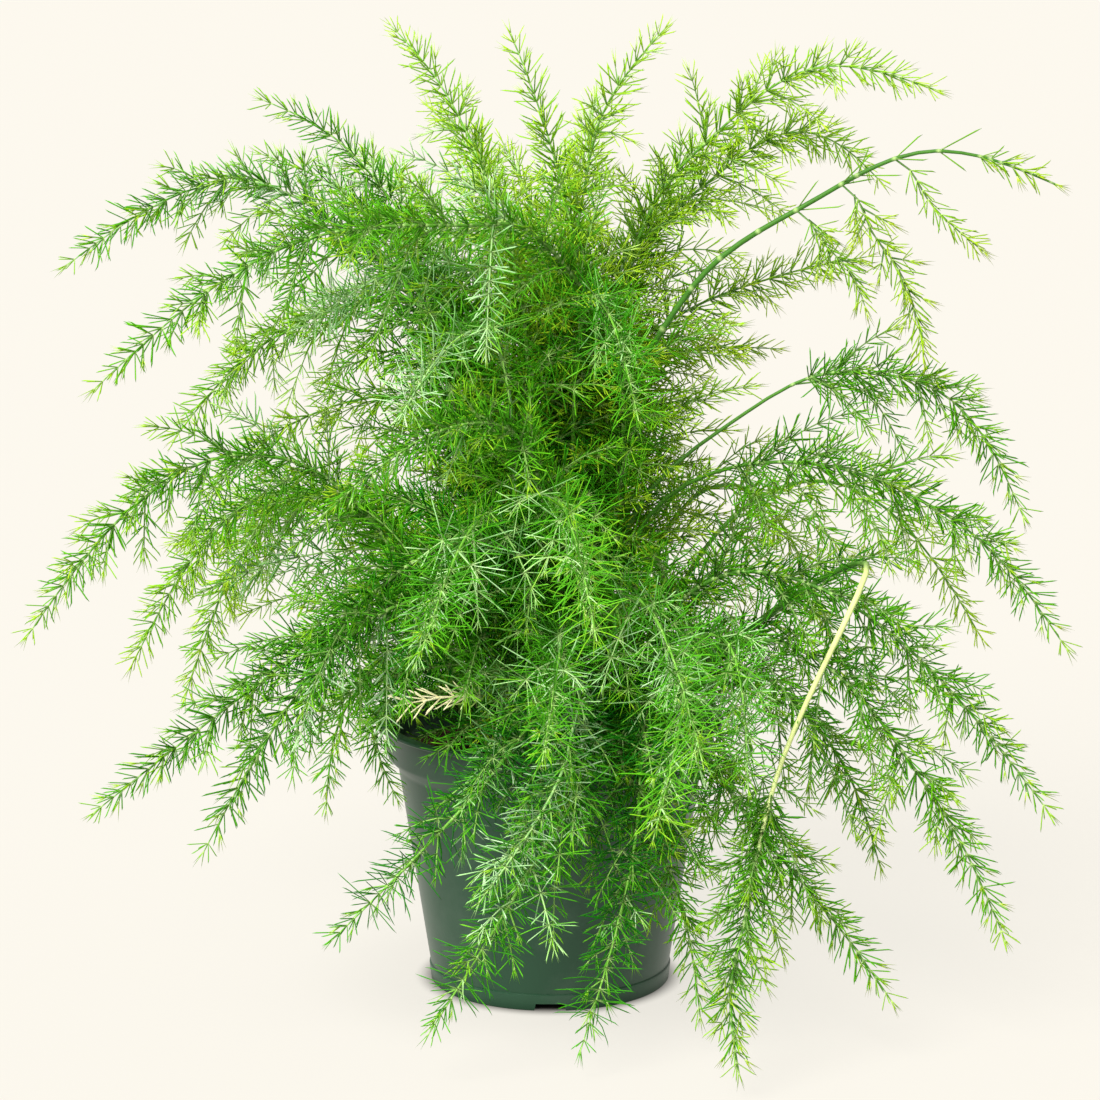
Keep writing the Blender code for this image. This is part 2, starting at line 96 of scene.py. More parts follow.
# Every frond: the points that its stem passes on the way to its tip, each given as
# heading in degrees from +X towards +Y, reach from the pot's axis and height, in millimetres.
FRONDS = {
    "left_1": ((177, 95, 360), (180, 143, 383), (184, 223, 346)),
    "left_2": ((316, 22, 334), (243, 50, 369), (216, 137, 366), (209, 229, 305)),
    "left_3": ((164, 73, 366), (164, 107, 401), (163, 141, 416)),
    "left_4": ((150, 78, 345), (150, 121, 374), (150, 160, 386)),
    "left_5": ((192, 144, 260), (192, 246, 179)),
    "left_6": ((157, 130, 227), (164, 212, 139)),
    "left_7": ((141, 144, 214), (149, 213, 110)),
    "left_8": ((244, 83, 229), (223, 154, 183), (213, 242, 117)),
    "left_9": ((237, 107, 205), (218, 197, 96)),
    "left_10": ((252, 116, 289), (236, 180, 254)),
    "left_11": ((155, 76, 146), (153, 105, 128), (151, 126, 65)),
    "left_12": ((195, 70, 146), (210, 93, 132), (224, 98, 106)),
    "left_13": ((136, 101, 317), (145, 167, 293), (148, 220, 240)),
    "top_1": ((180, 23, 367), (154, 57, 425), (146, 90, 450)),
    "top_2": ((70, 16, 379), (101, 25, 413), (118, 39, 448)),
    "top_3": ((33, 18, 373), (0, 23, 411), (339, 56, 455)),
    "top_4": ((104, 103, 366), (112, 161, 402)),
    "top_5": ((112, 65, 342), (112, 130, 369)),
    "top_6": ((54, 74, 352), (56, 132, 380)),
    "top_7": ((81, 81, 364), (80, 132, 411)),
    "top_8": ((128, 102, 364), (128, 158, 383)),
    "top_9": ((98, 71, 365), (102, 113, 389)),
    "right_1": ((30, 81, 393), (9, 135, 434), (3, 179, 424)),
    "right_2": ((38, 90, 372), (23, 128, 400), (21, 170, 374)),
    "right_3": ((0, 54, 316), (356, 74, 343), (354, 116, 372), (354, 179, 399), (354, 233, 384)),
    "right_4": ((46, 83, 308), (36, 137, 327), (32, 182, 334)),
    "right_5": ((57, 137, 286), (49, 173, 283)),
    "right_6": ((0, 52, 243), (0, 80, 266), (356, 138, 295), (354, 176, 290), (352, 221, 231)),
    "right_7": ((350, 61, 240), (341, 122, 258), (344, 195, 232), (343, 246, 178)),
    "right_8": ((352, 138, 202), (356, 161, 213)),
    "right_9": ((331, 164, 218), (310, 157, 129), (299, 178, 76), (295, 188, 47), (294, 203, 14)),
    "right_10": ((328, 113, 211), (334, 250, 111)),
    "right_11": ((329, 117, 179), (330, 203, 112), (330, 237, 54)),
    "right_12": ((355, 90, 152), (357, 128, 122), (0, 158, 53)),
    "right_13": ((303, 100, 142), (312, 143, 99), (317, 181, 58), (319, 203, 30)),
    "right_14": ((284, 84, 148), (290, 116, 118), (296, 134, 72), (299, 140, 19)),
    "front_1": ((296, 90, 154), (290, 118, 120), (275, 156, 14)),
    "front_2": ((280, 90, 150), (276, 124, 129), (265, 148, 88), (252, 173, 25)),
    "front_3": ((277, 105, 158), (272, 138, 136), (259, 163, 84)),
    "front_4": ((268, 88, 150), (255, 116, 124), (243, 135, 92), (232, 159, 56)),
    "bleached": ((245, 77, 154), (234, 106, 156)),
    "heart_1": ((272, 110, 254), (276, 191, 209)),
    "heart_2": ((254, 114, 245), (254, 198, 205)),
    "heart_3": ((290, 117, 209), (289, 201, 156)),
    "heart_4": ((307, 128, 190), (297, 190, 138)),
    "heart_5": ((273, 100, 188), (269, 190, 156)),
    "heart_6": ((303, 108, 170), (284, 185, 118)),
    "heart_7": ((239, 70, 322), (243, 146, 294)),
    "heart_8": ((294, 55, 334), (288, 126, 292)),
    "heart_9": ((200, 59, 348), (208, 128, 322)),
    "back_1": ((25, 140, 230), (18, 222, 150)),
    "back_2": ((50, 130, 220), (45, 210, 110)),
    "back_3": ((75, 115, 270), (70, 192, 190)),
    "back_4": ((100, 115, 200), (95, 188, 80)),
    "back_5": ((130, 115, 266), (142, 205, 226)),
    "back_6": ((85, 100, 330), (98, 176, 280)),
    "back_7": ((65, 110, 165), (58, 180, 40)),
    "back_8": ((112, 110, 165), (106, 178, 45)),
}

# How side shoots stand on a stem. Lengths are in millimetres, and the rest are shares.
HABIT = {
    "bare": 0.14,
    "longest": 80,
    "spread": 0.42,
    "plume": 24,
    "shortest": 9,
    "gap": 10.5,
    "droop": 0.3,
}

# A young stem bears three side shoots only. Each is given as the share of the stem where it
# leaves, and then by the points that it passes, as in the plan above.
SET_SHOOTS = {
    "right_3": (
        (0.706, (350, 127, 357), (348, 141, 344), (346, 149, 327)),
        (0.761, (351, 150, 361), (350, 163, 344), (349, 175, 303)),
        (0.823, (354, 177, 373), (354, 200, 353)),
    ),
}

# Stems that stay bare for longer, as shares of their length, and how far the side shoots of
# some groups hang, as shares of their own length.
BARE_STEMS = {
    "right_2": 0.3,
    "right_4": 0.4,
    "right_5": 0.5,
    "right_6": 0.62,
    "right_7": 0.5,
    "right_9": 0.7,
    "right_11": 0.4,
    "right_13": 0.42,
    "back_1": 0.42,
}
HANG = {"heart": 0.55, "front": 0.42}

# How side shoots differ: their fork in degrees, and their length and gap as shares; the straight
# runs of each; and the slant, as a sine, under which a stem is taken to be upright.
FORK = (42, 62)
LENGTH_DRAW = (0.75, 1.2)
GAP_DRAW = (0.8, 1.2)
SHOOT_STEPS = 6
NEARLY_UPRIGHT = 0.1

# Tufts, the short shoots between the others: the gap between them and the longest in
# millimetres, and their length as a share of the way to the tip; and how many of the young
# stem's side shoots bear them too.
TIP_TUFTS = (5, 10, 0.16)
BUSHY_TUFTS = (4.5, 22, 0.32)
SET_TUFTS = (6, 15, 0.3)
TUFTED_SHOOTS = 2

# More on tufts: the longest of those between the side shoots, the length that all have at
# least, and how far they keep from a side shoot's ends, from the last side shoot and from a
# stem's tip, in millimetres; then how far their forks and lengths differ.
MIDDLE_TUFT = 18
LEAST_TUFT = 2
SHOOT_MARGIN = 8
LAST_MARGIN = 6
TIP_MARGIN = 9
TUFT_FORK = (34, 52)
TUFT_DRAW = (0.8, 1.15)

# How stems are drawn: their longest straight run, half a joint's length and the plain bit at
# each end, in millimetres; how much a joint swells; and how a stem thins, by its width at the
# root, how much of that it loses, and the power of the way along it. Then how much of its
# width a side shoot loses, and how pale its joints are.
STRAIGHT_RUN = 14
HALF_JOINT = 1.6
BARE_END = 2
JOINT_SWELL = 1.14
THINNING = {"usual": (1, 0.8, 1.3), "set": (1.2, 0.85, 3), "cream": (1.2, 0.85, 2)}
SHOOT_THINNING = 0.5
SHOOT_JOINT = 0.35

# The part without needles of its own of most stems and of the young one, and where that one's
# joints are, as shares of their length.
BARE_SHARE = 0.2
SET_BARE_SHARE = 0.9
SET_JOINTS = (0.4, 0.455, 0.51, 0.565, 0.61, 0.66, 0.78, 0.87)

# Where whorls stand, in millimetres: the first on a side shoot and on a stem's needled tip,
# that tip's length on most stems and on the bleached sprig, the room that they keep from the
# pot on stems and on side shoots, and from the soil.
FIRST_WHORL = 4
FIRST_TIP_WHORL = 2
NEEDLED_TIP = 8
SPRIG_RUN = 42
STEM_WHORL_ROOM = 3
SHOOT_WHORL_ROOM = 2.5
SOIL_ROOM = 3

# How each group of fronds looks: its age from 0, old and deep green, to 1, young and lime,
# which also holds painted light, as the top and back groups are made lime as if lit through and
# the front group dark green as painted shade; the share of its shoots that are waxy, and so pale
# mint, partly real wax and partly painted highlight; the pose of its open whorls; how far
# behind a tip its whorls are half open; the least gap between its whorls and how it grows with
# the way to the tip; and the gap between the tufts along its stems, or none at 0. In millimetres.
GROUPS = {
    "left": (0.32, 0.2, "open", 40, 4.4, 0.12, 7),
    "top": (0.72, 0.3, "open", 40, 5.2, 0.12, 7.5),
    "right": (0.34, 0, "open", 40, 4.4, 0.12, 8),
    "front": (0.02, 0.12, "star", 24, 5, 0.18, 11),
    "heart": (0.28, 0.7, "star", 10, 6, 0.26, 0),
    "back": (0.7, 0, "open", 40, 5, 0.15, 0),
    "set": (0.5, 0, "open", 200, 3.2, 0.05, 0),
    "bleached": (0.8, 0, "sprig", 0, 7, 0, 0),
}
# Wax shares of waxy and plain shoots; the pale mint is partly real wax, partly painted highlight.
WAX_AND_HIGHLIGHT_DRAW = (0.4, 0.9)
PLAIN = (0, 0.03)

# How whorls change towards their shoot's tip: over how many millimetres, how much younger and
# smaller they get, how far from the tip they are shut, and how far the half open run differs.
TIP_RUN = 34
TIP_AGE = 0.42
TIP_SHRINK = 0.16
SHUT_RUN = 4
HALF_OPEN_DRAW = (0.4, 1)

# How whorls change from the plant's heart to its outer needles. First the plant's middle and
# its half width, depth and height, in metres; then how much younger they get, and from where
# on, which is painted shade: whorls deep in the plant are made older and darker, and outer ones
# younger and lighter; then where wax begins and is full, and where it fades to the sides, in
# metres, which puts a painted highlight on the outer needles in the middle of the plant.
MIDDLE_HEIGHT = 0.24
HALF_SPANS = (0.24, 0.2, 0.22)
PAINTED_DEPTH_SHADE = 0.22
DEPTH_SHADE_START = 0.78
WAX_AND_HIGHLIGHT_RISE = (0.42, 0.72)
WAX_AND_HIGHLIGHT_FADE = (0.12, 0.17)

# How far ages and sizes differ by chance, and how much younger the shoots are on a stem's
# last stretch, which is given in millimetres.
AGE_DRAW = (-0.06, 0.06)
SHOOT_AGE_DRAW = (-0.1, 0.12)
SIZE_DRAW = (0.88, 1.12)
YOUNG_TIP_AGE = 0.3
YOUNG_TIP_RUN = 48

# How much younger, and so more lime, some fronds are than their group, or how much older. Part
# of this is painted light: the lime of the top right fronds stands in for light shining through
# them, and the darker green of the low right fronds is painted shade.
AGE_AND_LIGHT_SHIFTS = {
    "left_5": 0.14,
    "left_6": 0.24,
    "left_7": 0.24,
    "left_8": -0.16,
    "left_9": -0.16,
    "left_13": 0.24,
    "top_6": 0.14,
    "top_7": 0.14,
    "top_9": 0.14,
    "right_1": 0.3,
    "right_2": 0.4,
    "right_4": 0.3,
    "right_5": 0.3,
    "right_9": -0.1,
    "right_10": -0.08,
    "right_11": -0.1,
    "right_13": -0.1,
    "right_14": -0.1,
}

# Stems of a colour of their own. One is woody and olive, and fronds that hang out in the sun are
# so in part. One has ripened to pale cream, from one share of its length to another, with the
# runs over which that comes and goes. The bleached sprig loses its green over the last span.
OLIVE_STEMS = ("right_3",)
SUNNED = {"right": 0.85, "right_1": 0.3, "right_2": 0.3, "left": 0.45, "top": 0.2, "back": 0.6}
CREAM_STEMS = ("right_9",)
CREAM_SPAN = (0.42, 0.8)
CREAM_EDGES = (0.04, 0.06)
BLEACH_SPAN = (0.66, 0.8)

# The poses of whorls: variants of each, needles in each, their lean off the shoot and how far
# that differs in degrees, and their length and width as shares of a full-grown needle's.
POSES = {
    "star": (9, 9, 74, 24, 1.14, 0.8),
    "open": (7, 7, 62, 16, 0.9, 1),
    "half": (7, 5, 46, 14, 0.72, 0.95),
    "shut": (5, 4, 18, 9, 0.6, 0.9),
    "sprig": (4, 6, 42, 12, 0.8, 1.12),
    "pair": (3, 2, 36, 8, 1.3, 1),
}

# A needle's sides, and its rings, each by its share of the length and its width; how many
# needles of a star are bent; how far needles differ in turn, length and bend; at which share of
# its length a needle crosses its straight line; and how many needles get a painted glint, a
# whitish highlight painted into their colour, and how strong it is.
NEEDLE_SIDES = 3
STRAIGHT_NEEDLE = ((0, 0.42), (0.85, 0.5), (1, 0))
SHUT_NEEDLE = ((0, 0.55), (1, 0))
BENT_NEEDLE = ((0, 0.42), (0.48, 0.5), (0.88, 0.46), (1, 0))
BENT_SHARE = 0.45
NEEDLE_TURN_DRAW = (-0.35, 0.35)
NEEDLE_DRAW = (0.7, 1.08)
BEND_DRAW = (-0.1, 0.34)
SIDE_BEND_DRAW = (-0.2, 0.2)
BEND_START = 0.35
PAINTED_GLINT_SHARE = 0.75
PAINTED_GLINT = (0.5, 1)
FAINT_GLINT = (0, 0.2)

# Open stars turn outwards to the light: how much of the way out is added to their shoot's way,
# the height in millimetres from which the way out is taken, and how much of the height counts.
STAR_FACE = (0.2, 1.6)
CROWN_HEIGHT = 180
OUTWARD_LIFT = 0.5

# What the lines of a frond carry to the frond tree, what that tree reads, its own tests of
# these values, and the inputs of both trees.
VALUES = ("thick", "main", "node", "size", "turn", "age", "bloom_and_highlight", "bleach", "olive", "cream")
LINE_VALUES = {
    "thick": "FLOAT",
    "main": "FLOAT",
    "size": "FLOAT",
    "turn": "FLOAT",
    "kind": "INT",
    "way": "FLOAT_VECTOR",
    "needle": "FLOAT",
}
LINE_TESTS = {
    "stem": ("main", "GREATER_THAN", 0.5),
    "shoot": ("main", "LESS_THAN", 0.5),
    "whorl": ("size", "GREATER_THAN", 0.01),
    "needle": ("needle", "GREATER_THAN", 0.5),
}
FROND_INPUTS = {
    "Geometry": "NodeSocketGeometry",
    "Stem sides": "NodeSocketInt",
    "Shoot sides": "NodeSocketInt",
    "Needle scale": "NodeSocketFloat",
}
CRUMB_INPUTS = {
    "Geometry": "NodeSocketGeometry",
    "Crumbs": "NodeSocketFloat",
    "Crumb size": "NodeSocketFloat",
    "Seed": "NodeSocketInt",
}

# The age at which needles have their grown green, how strongly bleached needles glow, a painted
# light that keeps them bright in the shade, and how pale wax, partly painted highlight, and
# joints make a stem.
GROWN_AGE = 0.42
PAINTED_GLOW = 0.3
STEM_PALENESS = 0.45

# The pot's step between wall and band and its drainage notches, in millimetres, how much
# narrower a notch is at its top, and the angle in degrees past which an edge is crisp.
STEP_HEIGHT = 6
NOTCHES = 4
NOTCH_WIDTH = 16
NOTCH_DEPTH = 15
NOTCH_HEIGHT = 7
NOTCH_REACH = 57
NOTCH_TAPER = 0.84
SHARP_ANGLE = 35

# The soil's outline up to its top edge, in millimetres; the rings of its top and the faces
# round it; the height above which it is lumpy; and its lumps, each by the noise's scale and
# octaves and by its height in millimetres.
PLUG = ((0, 5.3), (54.7, 5.3), (70, 105), (71, 109))
SOIL_RINGS = 26
SOIL_SIDES = 96
LUMPY_FROM = 108
LUMPS = ((60, 4, 1.6), (400, 3, 0.8))

# Crumbs and bark chips: how many kinds, how wide, deep and high they are by their common
# width, how rough, how far they lean in radians, and the seed of their places.
CRUMB_KINDS = 6
CHIP_KINDS = 2
CRUMB_DEPTH = (0.6, 0.9)
CRUMB_HEIGHT = (0.5, 0.8)
CHIP_STRETCH = (2.4, 0.5, 0.35)
CRUMB_ROUGHNESS = (0.75, 1.2)
CRUMB_SIZES = (0.35, 1.3)
CRUMB_LEAN = 0.6
CRUMB_SEED = 5

# The stage: the floor's reach each way and how far the camera sees, in metres; its sensor in
# millimetres; the softbox by its power, colour, spread and turn in degrees; the sky's power;
# and the paper's own light, each by where it begins and is full, in metres, and its strength,
# which fades round the pot as a painted shadow.
FLOOR_REACH = 14
FAR_CLIP = 50
SENSOR_WIDTH = 36
SUN_POWER = 6.2
SUN_COLOUR = (1, 0.97, 0.9)
SUN_SPREAD = 40
SUN_TURN = (46, 0, -34)
SKY_POWER = 0.58
PAPER_GLOW_AND_PAINTED_SHADOW = ((0.052, 0.066, 0.8), (0.055, 0.13, 0.06))


def linear(colour):
    """A colour given as an sRGB hex value, as linear red, green and blue."""
    parts = [int(colour[i : i + 2], 16) / 255 for i in (1, 3, 5)]
    return [part / 12.92 if part <= 0.04045 else ((part + 0.055) / 1.055) ** 2.4 for part in parts]


def colour_setting(name, description, colour):
    """A colour that the user can change."""
    return FloatVectorProperty(
        name=name,
        description=description,
        default=linear(colour),
        subtype="COLOR",
        min=0,
        max=1,
    )


def length_setting(name, description, millimetres):
    """A length that the user can change."""
    return FloatProperty(
        name=name,
        description=description,
        default=millimetres * MM,
        min=0,
        unit="LENGTH",
        precision=5,
    )


class PotSettings(bpy.types.PropertyGroup):
    """Sizes and colours of the pot."""

    height: length_setting("Height", "From the floor to the rim", POT_HEIGHT)
    lip_radius: length_setting("Lip radius", "From the axis to the rim's outer edge", LIP_RADIUS)
    band_radius: length_setting("Band radius", "From the axis to the band under the rim", 78)
    band_height: length_setting("Band height", "Height of the upright band under the rim", 17)
    wall: length_setting("Wall", "Thickness of the plastic", WALL)
    sides: IntProperty(name="Sides", description="Faces round the pot", default=160, min=12)
    colour: colour_setting("Plastic", "The plastic's blue-green", "#1B402B")
    dust: colour_setting("Dust", "Dry dust and lime on the plastic", "#7C8A80")


class SoilSettings(bpy.types.PropertyGroup):
    """Sizes and colours of the soil."""

    crumb: length_setting("Crumb", "Width of a common crumb", 2.4)
    crumbs: FloatProperty(
        name="Crumbs",
        description="Crumbs per square metre",
        default=90000,
        min=0,
    )
    dark: colour_setting("Damp peat", "The soil's darkest brown", "#1E140E")
    pale: colour_setting("Dry fibre", "The soil's palest brown", "#5B4431")


class FrondSettings(bpy.types.PropertyGroup):
    """Sizes and colours of the fronds."""

    needle_length: length_setting("Needle length", "A full-grown needle's length", 17.5)
    needle_width: length_setting("Needle width", "A needle's widest width", 0.76)
    whorl_gap: length_setting("Whorl gap", "The widest gap from whorl to whorl", 13.5)
    stem_radius: length_setting("Stem radius", "A stem's radius at the soil", 1.35)
    shoot_radius: length_setting("Shoot radius", "A side shoot's radius at its root", 0.55)
    stem_sides: IntProperty(name="Stem sides", description="Faces round a stem", default=7, min=3)
    shoot_sides: IntProperty(
        name="Shoot sides",
        description="Faces round a side shoot",
        default=3,
        min=3,
    )
    # The old colour is also painted shade for the needles deep in the plant.
    old_and_shaded: colour_setting("Old needles", "Needles deep in the plant", "#146C0D")
    grown: colour_setting("Grown needles", "Most of the needles", "#58AE1C")
    young: colour_setting("Young needles", "Needles near the tips", "#A9D62F")
    # Bloom is partly real whitish wax and partly a painted highlight on the front needles.
    bloom_and_highlight: colour_setting("Bloom", "Needles under their whitish wax", "#D8F9CE")
    bleached: colour_setting("Bleached needles", "Needles without their green", "#FFF9CC")
    stem: colour_setting("Stem", "A grown stem", "#68A634")
    olive: colour_setting("Woody stem", "A stem that has gone woody", "#3C7020")
    sunned: colour_setting("Sunned needles", "What strong sun takes from the green", "#FFEBD6")
    cream: colour_setting("Ripe stem", "A stem that has lost its green", "#C9D68E")
    node: colour_setting("Node", "The pale joints of the stems", "#D3EDA0")


class StageSettings(bpy.types.PropertyGroup):
    """The camera, the light and the floor."""

    distance: length_setting("Distance", "From the camera to the plant's middle", 2000)
    aim: length_setting("Aim", "Height that the camera looks at", 208.5)
    width: length_setting("View width", "Width that the picture takes in at the plant", 518)
    rise: FloatProperty(
        name="Rise",
        description="Angle from which the camera looks down",
        default=math.radians(12),
        subtype="ANGLE",
    )
    floor: colour_setting("Floor", "The paper that the pot stands on", "#FAF6ED")
    sky: colour_setting("Sky", "The soft light from all round", "#FDFAF4")


SETTINGS = {
    "fern_pot": PotSettings,
    "fern_soil": SoilSettings,
    "fern_fronds": FrondSettings,
    "fern_stage": StageSettings,
}


def add_node(tree, kind, inputs=None, **options):
    """Adds a node with its options, and its inputs as values or as other nodes' outputs."""
    made = tree.nodes.new(kind)
    for name, value in options.items():
        setattr(made, name, value)
    for name, value in (inputs or {}).items():
        if isinstance(value, bpy.types.NodeSocket):
            tree.links.new(value, made.inputs[name])
        else:
            made.inputs[name].default_value = value
    return made


def new_material(name, roughness, ior):
    """A material with its node tree and shader."""
    made = bpy.data.materials.new(name)
    made.use_nodes = True
    shader = made.node_tree.nodes["Principled BSDF"]
    shader.inputs["Roughness"].default_value = roughness
    shader.inputs["IOR"].default_value = ior
    return made, made.node_tree, shader


def rgba(colour):
    """A colour setting as a node takes it."""
    return (*colour, 1)


def finish_piece(piece, node):
    """Hangs this piece on the root body and hides the part of the model that it stands in for."""
    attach(piece, "root")
    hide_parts(node)


def add_piece(name, mesh, *finishes):
    """An object at the origin that shows this mesh in these materials."""
    made = bpy.data.objects.new(name, mesh)
    for finish in finishes:
        mesh.materials.append(finish)
    bpy.context.scene.collection.objects.link(made)
    return made


def baked(piece):
    """Turns a piece's modifiers into a plain mesh of its own."""
    graph = bpy.context.evaluated_depsgraph_get()
    mesh = bpy.data.meshes.new_from_object(piece.evaluated_get(graph))
    piece.modifiers.clear()
    piece.data = mesh
    return piece


def polar(heading, reach, height):
    """A point given by its heading in degrees, its reach and its height in millimetres."""
    angle = math.radians(heading)
    return Vector((reach * math.cos(angle), reach * math.sin(angle), height)) * MM


def smooth_line(points, leave):
    """A cubic line through the points, level at any point that stands above both its neighbours."""
    spans = [(b - a).length for a, b in zip(points, points[1:])]
    ways = [leave.normalized()]
    for i in range(1, len(points) - 1):
        before = (points[i] - points[i - 1]) / spans[i - 1] ** 2
        after = (points[i + 1] - points[i]) / spans[i] ** 2
        way = before + after
        if points[i].z > max(points[i - 1].z, points[i + 1].z):
            way.z = 0
        ways.append(way.normalized())
    ways.append(((points[-1] - points[-2]) / spans[-1] * 1.5 - ways[-1] * 0.5).normalized())
    line = []
    for i, span in enumerate(spans):
        steps = max(FEWEST_STEPS, round(span / (LINE_STEP * MM)))
        for k in range(steps):
            t = k / steps
            line.append(
                points[i] * (2 * t**3 - 3 * t**2 + 1)
                + ways[i] * span * (t**3 - 2 * t**2 + t)
                + points[i + 1] * (3 * t**2 - 2 * t**3)
                + ways[i + 1] * span * (t**3 - t**2)
            )
    return line + [points[-1]]


class Path:
    """A line of points that can be read at any distance along it."""

    def __init__(self, points):
        self.points = points
        self.marks = [0.0]
        for a, b in zip(points, points[1:]):
            self.marks.append(self.marks[-1] + (b - a).length)
        self.length = self.marks[-1]

    def at(self, distance):
        """The point at this distance, and the line's direction there."""
        distance = min(max(distance, 0), self.length)
        i = 1
        while self.marks[i] < distance and i < len(self.marks) - 1:
            i += 1
        a, b = self.points[i - 1], self.points[i]
        share = (distance - self.marks[i - 1]) / (self.marks[i] - self.marks[i - 1])
        return a.lerp(b, min(share, 1)), (b - a).normalized()

    def chords(self):
        """Points read along the straight runs between a stem's rings."""
        marks = [0, FIRST_RING * MM]
        while marks[-1] + RING_GAP * MM < self.length:
            marks.append(marks[-1] + RING_GAP * MM)
        runs = Path([self.at(mark)[0] for mark in marks + [self.length]])
        count = round(runs.length / (READ_STEP * MM))
        return [runs.at(runs.length * i / count)[0] for i in range(count + 1)]


def crown_places():
    """Places for the stems to leave the crown, spread like the seeds of a sunflower."""
    places = []
    for i in range(CROWN_PLACES):
        reach = CROWN_RADIUS * math.sqrt((i + 0.5) / CROWN_PLACES)
        places.append(polar(i * GOLDEN_TURN, reach, SOIL_TOP - ROOT_DEPTH))
    return places


def stem_paths():
    """A path for each frond's stem, from the nearest crown place that is clear of the others."""
    free = crown_places()
    taken = []
    paths = {}
    for name, passes in FRONDS.items():
        goals = [polar(*place) for place in passes]
        wish = goals[0] * LEAN
        wish.z = (SOIL_TOP - ROOT_DEPTH) * MM
        tree = KDTree(len(taken))
        for i, point in enumerate(taken):
            tree.insert(point, i)
        tree.balance()
        best_room = -1
        for root in sorted(free, key=lambda place: (place - wish).length):
            lean = goals[0] - root
            lean.z = 0
            path = Path(smooth_line([root] + goals, Vector((0, 0, 1)) + lean.normalized() * LEAN))
            chords = path.chords()
            room = min(tree.find(point)[2] for point in chords) if taken else math.inf
            if room > best_room:
                best_room, best = room, (root, path, chords)
            if room > STEM_ROOM * MM:
                break
        root, path, chords = best
        free.remove(root)
        taken += chords
        paths[name] = path
    return paths


def set_shoot(path, share, passes):
    """A side shoot that leaves the stem at this share of its length and passes these points."""
    start, along = path.at(path.length * share)
    goals = [polar(*place) for place in passes]
    leave = along + (goals[0] - start).normalized()
    return path.length * share, Path(smooth_line([start] + goals, leave))


def side_shoots(path, name):
    """The side shoots of a stem, each as its distance along the stem and its own path."""
    if name in SET_SHOOTS:
        return [set_shoot(path, share, passes) for share, *passes in SET_SHOOTS[name]]
    rng = random.Random(name)
    distance = path.length * BARE_STEMS.get(name, HABIT["bare"])
    hang = HANG.get(name.split("_")[0], HABIT["droop"])
    turn = rng.uniform(0, 360)
    shoots = []
    while True:
        left = path.length - distance - HABIT["plume"] * MM
        length = min(HABIT["longest"] * MM, HABIT["spread"] * left)
        if length < HABIT["shortest"] * MM:
            return shoots
        length *= rng.uniform(*LENGTH_DRAW)
        start, along = path.at(distance)
        side = along.cross(Vector((0, 0, 1)))
        side = side.normalized() if side.length > NEARLY_UPRIGHT else Vector((1, 0, 0))
        out = side * math.cos(math.radians(turn)) + side.cross(along) * math.sin(math.radians(turn))
        fork = math.radians(rng.uniform(*FORK))
        way = along * math.cos(fork) + out * math.sin(fork)
        points = []
        for i in range(SHOOT_STEPS + 1):
            t = i / SHOOT_STEPS
            points.append(start + way * length * t - Vector((0, 0, hang * length * t * t)))
        shoots.append((distance, Path(points)))
        distance += HABIT["gap"] * MM * rng.uniform(*GAP_DRAW)
        turn += GOLDEN_TURN


def clear_of_pot(point, room):
    """True where a ball of this radius is clear of the pot, the soil and the floor."""
    reach = math.hypot(point.x, point.y)
    if point.z < room:
        return False
    if point.z > POT_HEIGHT * MM + room or reach > LIP_RADIUS * MM + room:
        return True
    above = point.z > (SOIL_TOP + SOIL_ROOM) * MM + room
    return above and reach < (WALL_TOP_RADIUS - WALL) * MM - room


class Chains:
    """Lines of points for the frond tree, with all that it needs to know at each point."""

    def __init__(self):
        self.points = []
        self.edges = []
        self.ways = []
        self.kinds = []
        self.values = {name: [] for name in VALUES}

    def add(self, path, marks):
        """Adds a line through the marks of a path, each a distance with the values there."""
        for i, (distance, values) in enumerate(marks):
            point, way = path.at(distance)
            if i:
                self.edges.append((len(self.points) - 1, len(self.points)))
            self.points.append(point)
            lift = OUTWARD_LIFT * (point.z - CROWN_HEIGHT * MM)
            out = Vector((point.x, point.y, lift)).normalized()
            self.ways.append(way + out * values.get("face", 0))
            self.kinds.append(values.get("kind", 0))
            for name in VALUES:
                self.values[name].append(values.get(name, 0))

    def mesh(self, name):
        """The lines as a mesh, with the values as its attributes."""
        made = bpy.data.meshes.new(name)
        made.from_pydata(self.points, self.edges, [])
        for key in VALUES:
            made.attributes.new(key, "FLOAT", "POINT").data.foreach_set("value", self.values[key])
        made.attributes.new("kind", "INT", "POINT").data.foreach_set("value", self.kinds)
        flat = [number for way in self.ways for number in way]
        made.attributes.new("way", "FLOAT_VECTOR", "POINT").data.foreach_set("vector", flat)
        return made


def whorl_marks(length, first, least, growth, settings):
    """Where the whorls of a shoot stand, closer and closer towards its tip."""
    marks = [length]
    while True:
        gap = min(settings.whorl_gap, least * MM + (length - marks[-1]) * growth)
        if marks[-1] - gap < first:
            return marks[::-1]
        marks.append(marks[-1] - gap)


def whorl_kind(left, pose, half_open, rng):
    """A whorl's variant: shut at the shoot's tip, half open behind it, and open on the rest."""
    if left < rng.uniform(*HALF_OPEN_DRAW) * half_open * MM:
        pose = "half"
    if left < SHUT_RUN * MM and pose != "sprig":
        pose = "shut"
    before = 0
    for name, (count, *_) in POSES.items():
        if name == pose:
            return before + rng.randrange(count)
        before += count


def outwardness(point):
    """How far out in the plant a point is, from 0 in its heart to about 1 at its outer needles."""
    wide, deep, high = HALF_SPANS
    return Vector((point.x / wide, point.y / deep, (point.z - MIDDLE_HEIGHT) / high)).length


def rise(value, start, end):
    """How far a value is on its way from the start, 0, to the end, 1."""
    return min(1, max(0, (value - start) / (end - start)))


